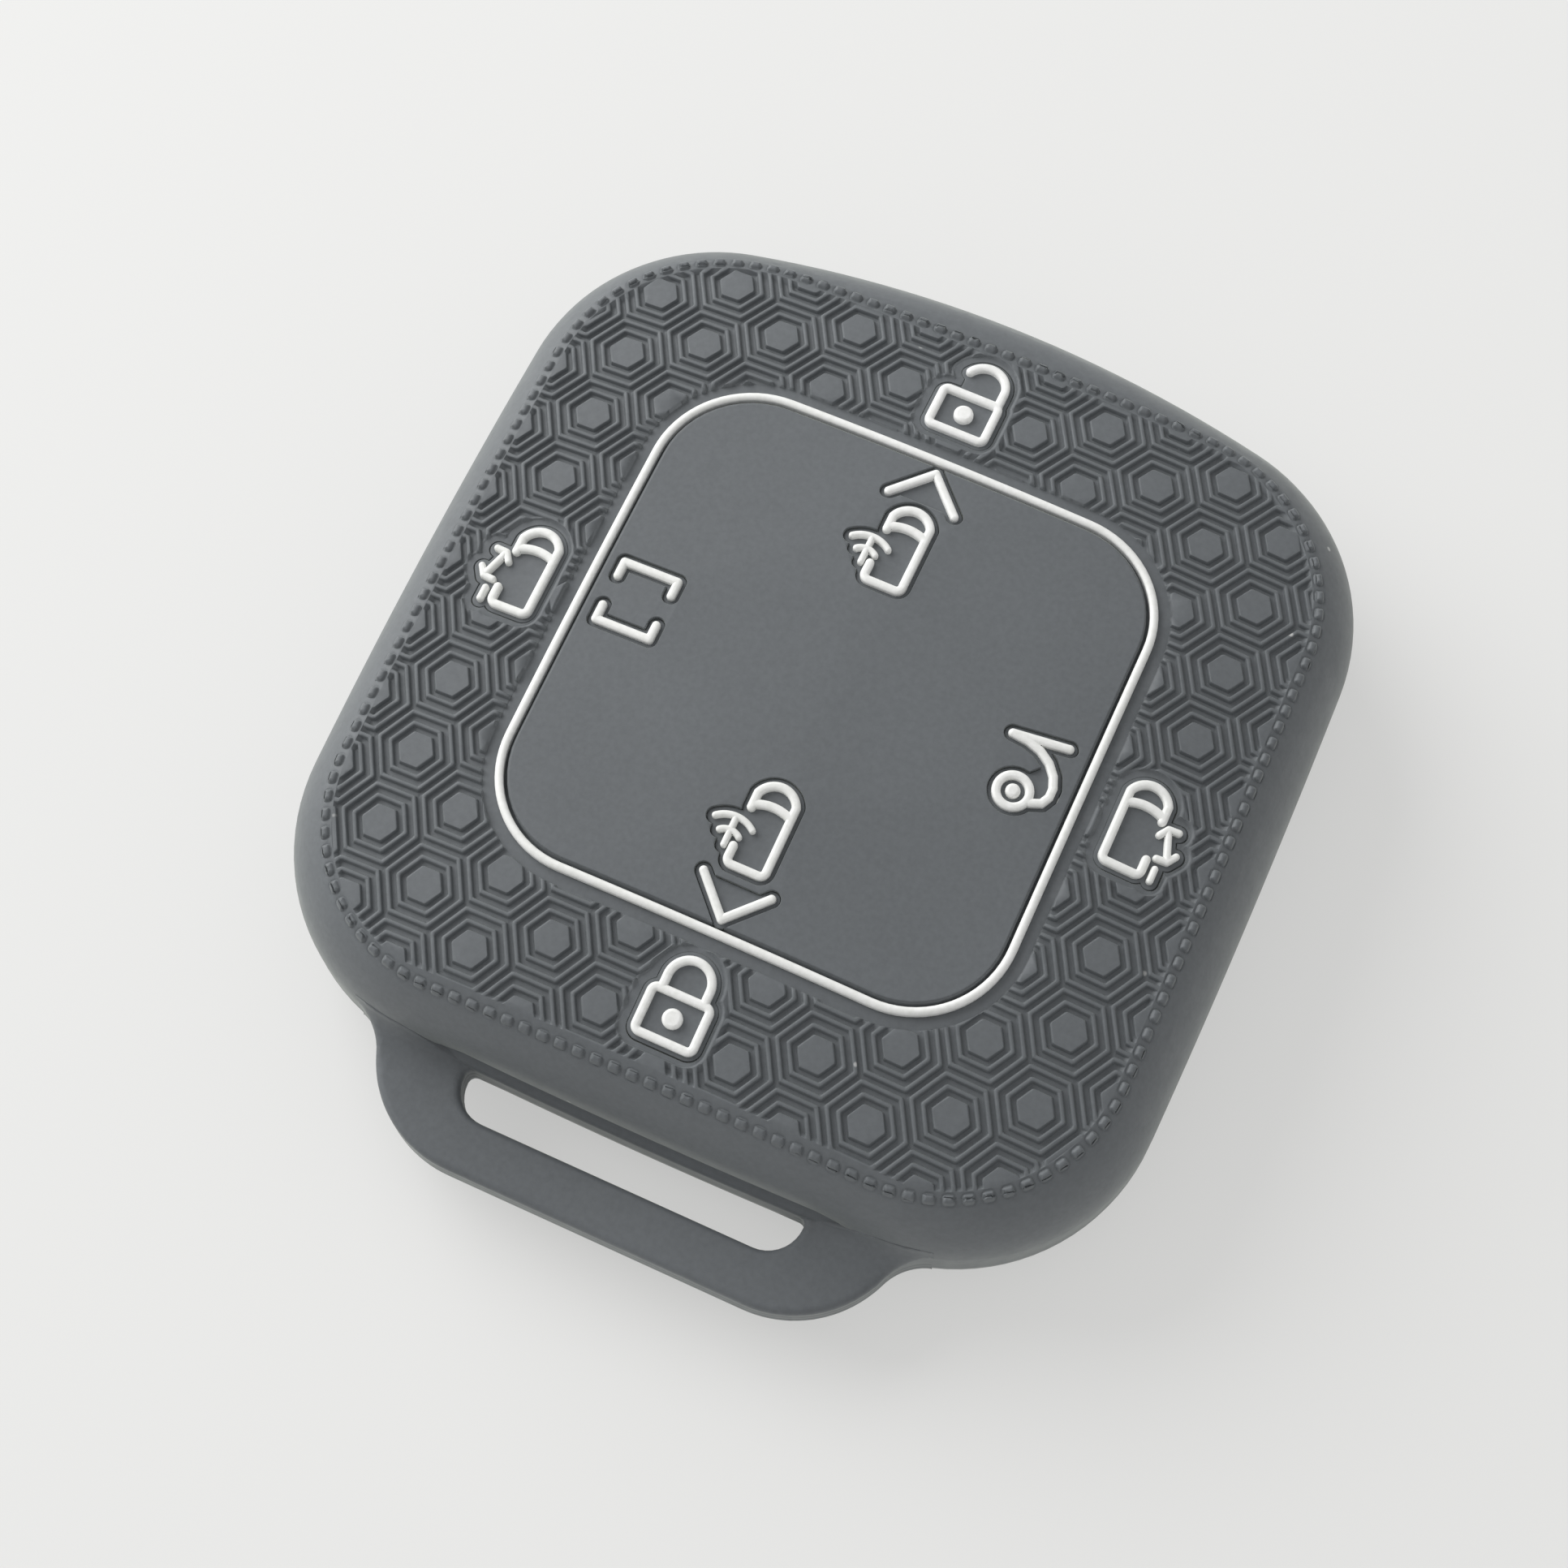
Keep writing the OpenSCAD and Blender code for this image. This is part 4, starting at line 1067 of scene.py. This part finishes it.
def make_mark(key, node, drawing, width, material):
    piece = Piece()
    half = width / 2
    r = min(half, STROKE / 2)
    rise = MARK_RISE - MARK_SHOULDER
    heights = [MARK_SHOULDER + rise * math.sqrt(1 - (1 - e) ** 2) for e in MARK_STEPS]
    sides = contours(drawing, [half - e * r for e in MARK_STEPS], key.room())
    add_top(piece, sides, heights, lambda x, y: drawing(x, y) < half)
    for p in sides[0]:
        piece.loft([at_height(p, MARK_SHOULDER), at_height(p, -MARK_SINK)])
    piece.place(node + "_white", key.name + "_key", node, "white_silicone", material, key.frame)


def make_ring(material):
    piece = Piece()
    half = BEAD / 2 - BEAD_PLAY
    arch = [(half * math.cos(t), BEAD_FOOT + BEAD_RISE * math.sin(t)) for t in turns(0, 180, 13)]
    rings = []
    for out, z in [(half, BEAD_SEAT - CHANNEL)] + arch + [(-half, -GAP_DEPTH)]:
        p = ring_line(out, BEAD_STEP)
        rings.append(at_height(p, body_top(*p.T) + z))
    piece.loft(rings)
    piece.place("panel_ring_white", "cover", "panel_ring", "white_silicone", material)


def make_cover(material):
    holes = [(key, *contours(key.pocket, (0, RIM_W), key.room())) for key in KEYS]
    piece = Piece()
    add_face(piece, holes)
    piece.loft(body_rings())
    add_ceiling(piece, holes)
    add_pocket_walls(piece, holes)
    add_loop(piece)
    piece.place("cover_body", "cover", "cover_shell", "grey_silicone", material)


# Materials
class Look:
    """A material, with helpers that add nodes to it."""

    def __init__(self, name):
        self.material = bpy.data.materials.new(name)
        self.material.use_nodes = True
        self.tree = self.material.node_tree
        self.shader = self.tree.nodes["Principled BSDF"].inputs
        self.place = self.node("ShaderNodeTexCoord", {}, "Object")

    def put(self, value, socket):
        """Sets a socket to a number or a colour, or links another node's output to it."""
        if isinstance(value, bpy.types.NodeSocket):
            self.tree.links.new(value, socket)
        else:
            socket.default_value = value

    def node(self, kind, inputs, output, **settings):
        """Adds a node with settings and inputs, and gives one of its outputs."""
        node = self.tree.nodes.new(kind)
        for name, value in settings.items():
            setattr(node, name, value)
        for socket, value in inputs.items():
            self.put(value, node.inputs[socket])
        return node.outputs[output]

    def noise(self, scale, detail=2.0):
        inputs = {"Vector": self.place, "Scale": scale, "Detail": detail}
        return self.node("ShaderNodeTexNoise", inputs, "Fac")

    def ramp(self, value, low, high, out_low, out_high):
        """The range from low to high, stretched to the range from out_low to out_high."""
        ends = {"From Min": low, "From Max": high, "To Min": out_low, "To Max": out_high}
        return self.node("ShaderNodeMapRange", {"Value": value, **ends}, "Result")

    def calculate(self, operation, *values):
        return self.node("ShaderNodeMath", dict(enumerate(values)), "Value", operation=operation)

    def mix(self, factor, a, b):
        """Two colours mixed: the colour sockets of a mix node are its inputs 6 and 7 and its output 2."""
        return self.node("ShaderNodeMix", {"Factor": factor, 6: a, 7: b}, 2, data_type="RGBA")


CLOUD_SCALE, MOTTLE_SCALE, GLOSS_SCALE, DUST_SCALE, GRAIN_SCALE = 45, 2600, 900, 420, 6000
GRAIN_STRENGTH, GRAIN_DEPTH = 0.25, 0.02 * MM
SPECULAR, SHEEN_ROUGHNESS, SHEEN_TINT = 0.4, 0.35, (0.95, 1, 0.9, 1)
DUST_COLOUR = (0.75, 0.75, 0.73, 1)
GREY, WHITE = (0.136, 0.147, 0.156), (0.93, 0.94, 0.90)


def shade(colour, share):
    return tuple(min(1, share * c) for c in colour) + (1,)


def cloudiness(look):
    """Large soft clouds and fine mottling, from 0 to 1."""
    clouds = look.ramp(look.noise(CLOUD_SCALE), 0.35, 0.65, 0, 1)
    mottle = look.ramp(look.noise(MOTTLE_SCALE, 4), 0.3, 0.7, 0, 0.6)
    return look.calculate("MULTIPLY_ADD", clouds, 0.4, mottle)


def dust(look, amount):
    """Specks near the middles of a few cells."""
    cells = look.tree.nodes.new("ShaderNodeTexVoronoi")
    look.put(look.place, cells.inputs["Vector"])
    look.put(DUST_SCALE, cells.inputs["Scale"])
    near = look.ramp(cells.outputs["Distance"], 0.05, 0.09, 1, 0)
    chance = look.node("ShaderNodeSeparateColor", {"Color": cells.outputs["Color"]}, "Red")
    some = look.ramp(chance, 0.93, 0.95, 0, 1)
    return look.ramp(look.calculate("MULTIPLY", near, some), 0, 1, 0, amount)


def silicone(name, colour, roughness, specks, sheen):
    """Moulded silicone: cloudy colour, uneven gloss, fine grain, a soft sheen and specks of dust."""
    look = Look(name)
    base = look.mix(cloudiness(look), shade(colour, 0.9), shade(colour, 1.1))
    gloss = look.ramp(look.noise(GLOSS_SCALE, 3), 0.3, 0.7, roughness - 0.05, roughness + 0.06)
    bumps = {"Strength": GRAIN_STRENGTH, "Distance": GRAIN_DEPTH, "Height": look.noise(GRAIN_SCALE, 4)}
    grain = look.node("ShaderNodeBump", bumps, "Normal")
    # the plain value stays on the socket under the link
    look.put(roughness, look.shader["Roughness"])
    for socket, value in (
            ("Specular IOR Level", SPECULAR), ("Sheen Weight", sheen), ("Sheen Roughness", SHEEN_ROUGHNESS),
            ("Sheen Tint", SHEEN_TINT), ("Base Color", look.mix(dust(look, specks), base, DUST_COLOUR)),
            ("Roughness", gloss), ("Normal", grain)):
        look.put(value, look.shader[socket])
    return look.material


# Stage, light and camera, in the frame's own places
FLOOR_HALF, FLOOR_Z = 1.5, -0.0001
WINDOW_AT, WINDOW_AIM = Vector((-0.59, 0.202, 0.318)), Vector((0, 0, 0.01))
WINDOW_SIZE, WINDOW_WATTS = 0.8, 5.7
WORLD_STRENGTH = 0.51
CAMERA_AT = Vector((28.45, -61.935, 195.14))
CAMERA_AZIMUTH, CAMERA_TILT, CAMERA_ROLL = 26.425, 19.605, -2.027
LENS, SENSOR = 67.36, 36


def glowing_floor():
    """A plain white floor that glows a little: painted fill light that lightens its shadows and the cover's
    lower sides.
    """
    material = bpy.data.materials.new("floor_white")
    material.use_nodes = True
    shader = material.node_tree.nodes["Principled BSDF"].inputs
    # the glow is painted fill light that lifts the shadows; the base white is darker to make up for it
    for socket, value in (("Base Color", (0.4, 0.4, 0.395, 1)), ("Roughness", 0.9),
                          ("Emission Color", (1, 1, 0.985, 1)), ("Emission Strength", 0.45)):
        shader[socket].default_value = value
    return material


def make_stage():
    bpy.ops.mesh.primitive_plane_add(size=2 * FLOOR_HALF, location=(0, 0, FLOOR_Z))
    floor = bpy.context.object
    floor.name = "floor"
    floor.data.materials.append(glowing_floor())


def make_light():
    data = bpy.data.lights.new("window", "AREA")
    data.shape = "DISK"
    data.size = WINDOW_SIZE
    data.energy = WINDOW_WATTS
    window = bpy.data.objects.new("window", data)
    window.location = WINDOW_AT
    window.rotation_euler = (WINDOW_AIM - WINDOW_AT).to_track_quat("-Z", "Y").to_euler()
    bpy.context.scene.collection.objects.link(window)
    world = bpy.data.worlds.new("studio")
    world.use_nodes = True
    background = world.node_tree.nodes["Background"].inputs
    background["Color"].default_value = (1, 1, 1, 1)
    background["Strength"].default_value = WORLD_STRENGTH
    bpy.context.scene.world = world


def make_camera():
    data = bpy.data.cameras.new("camera")
    data.lens = LENS
    data.sensor_width = SENSOR
    data.clip_start = 0.01
    camera = bpy.data.objects.new("camera", data)
    view = Matrix.Translation(CAMERA_AT * MM)
    for angle, axis in ((CAMERA_AZIMUTH, "Z"), (CAMERA_TILT, "X"), (CAMERA_ROLL, "Z")):
        view = view @ Matrix.Rotation(math.radians(angle), 4, axis)
    camera.matrix_world = view
    bpy.context.scene.collection.objects.link(camera)
    bpy.context.scene.camera = camera


bpy.context.scene.view_settings.view_transform = "Standard"
grey = silicone("grey_silicone_look", GREY, 0.55, 0.5, 0.25)
white = silicone("white_silicone_look", WHITE, 0.45, 0.0, 0.0)
make_camera()
make_cover(grey)
make_ring(white)
for key in KEYS:
    make_pad(key, grey)
    for node, drawing, width in key.marks:
        make_mark(key, node, drawing, width, white)
make_stage()
make_light()
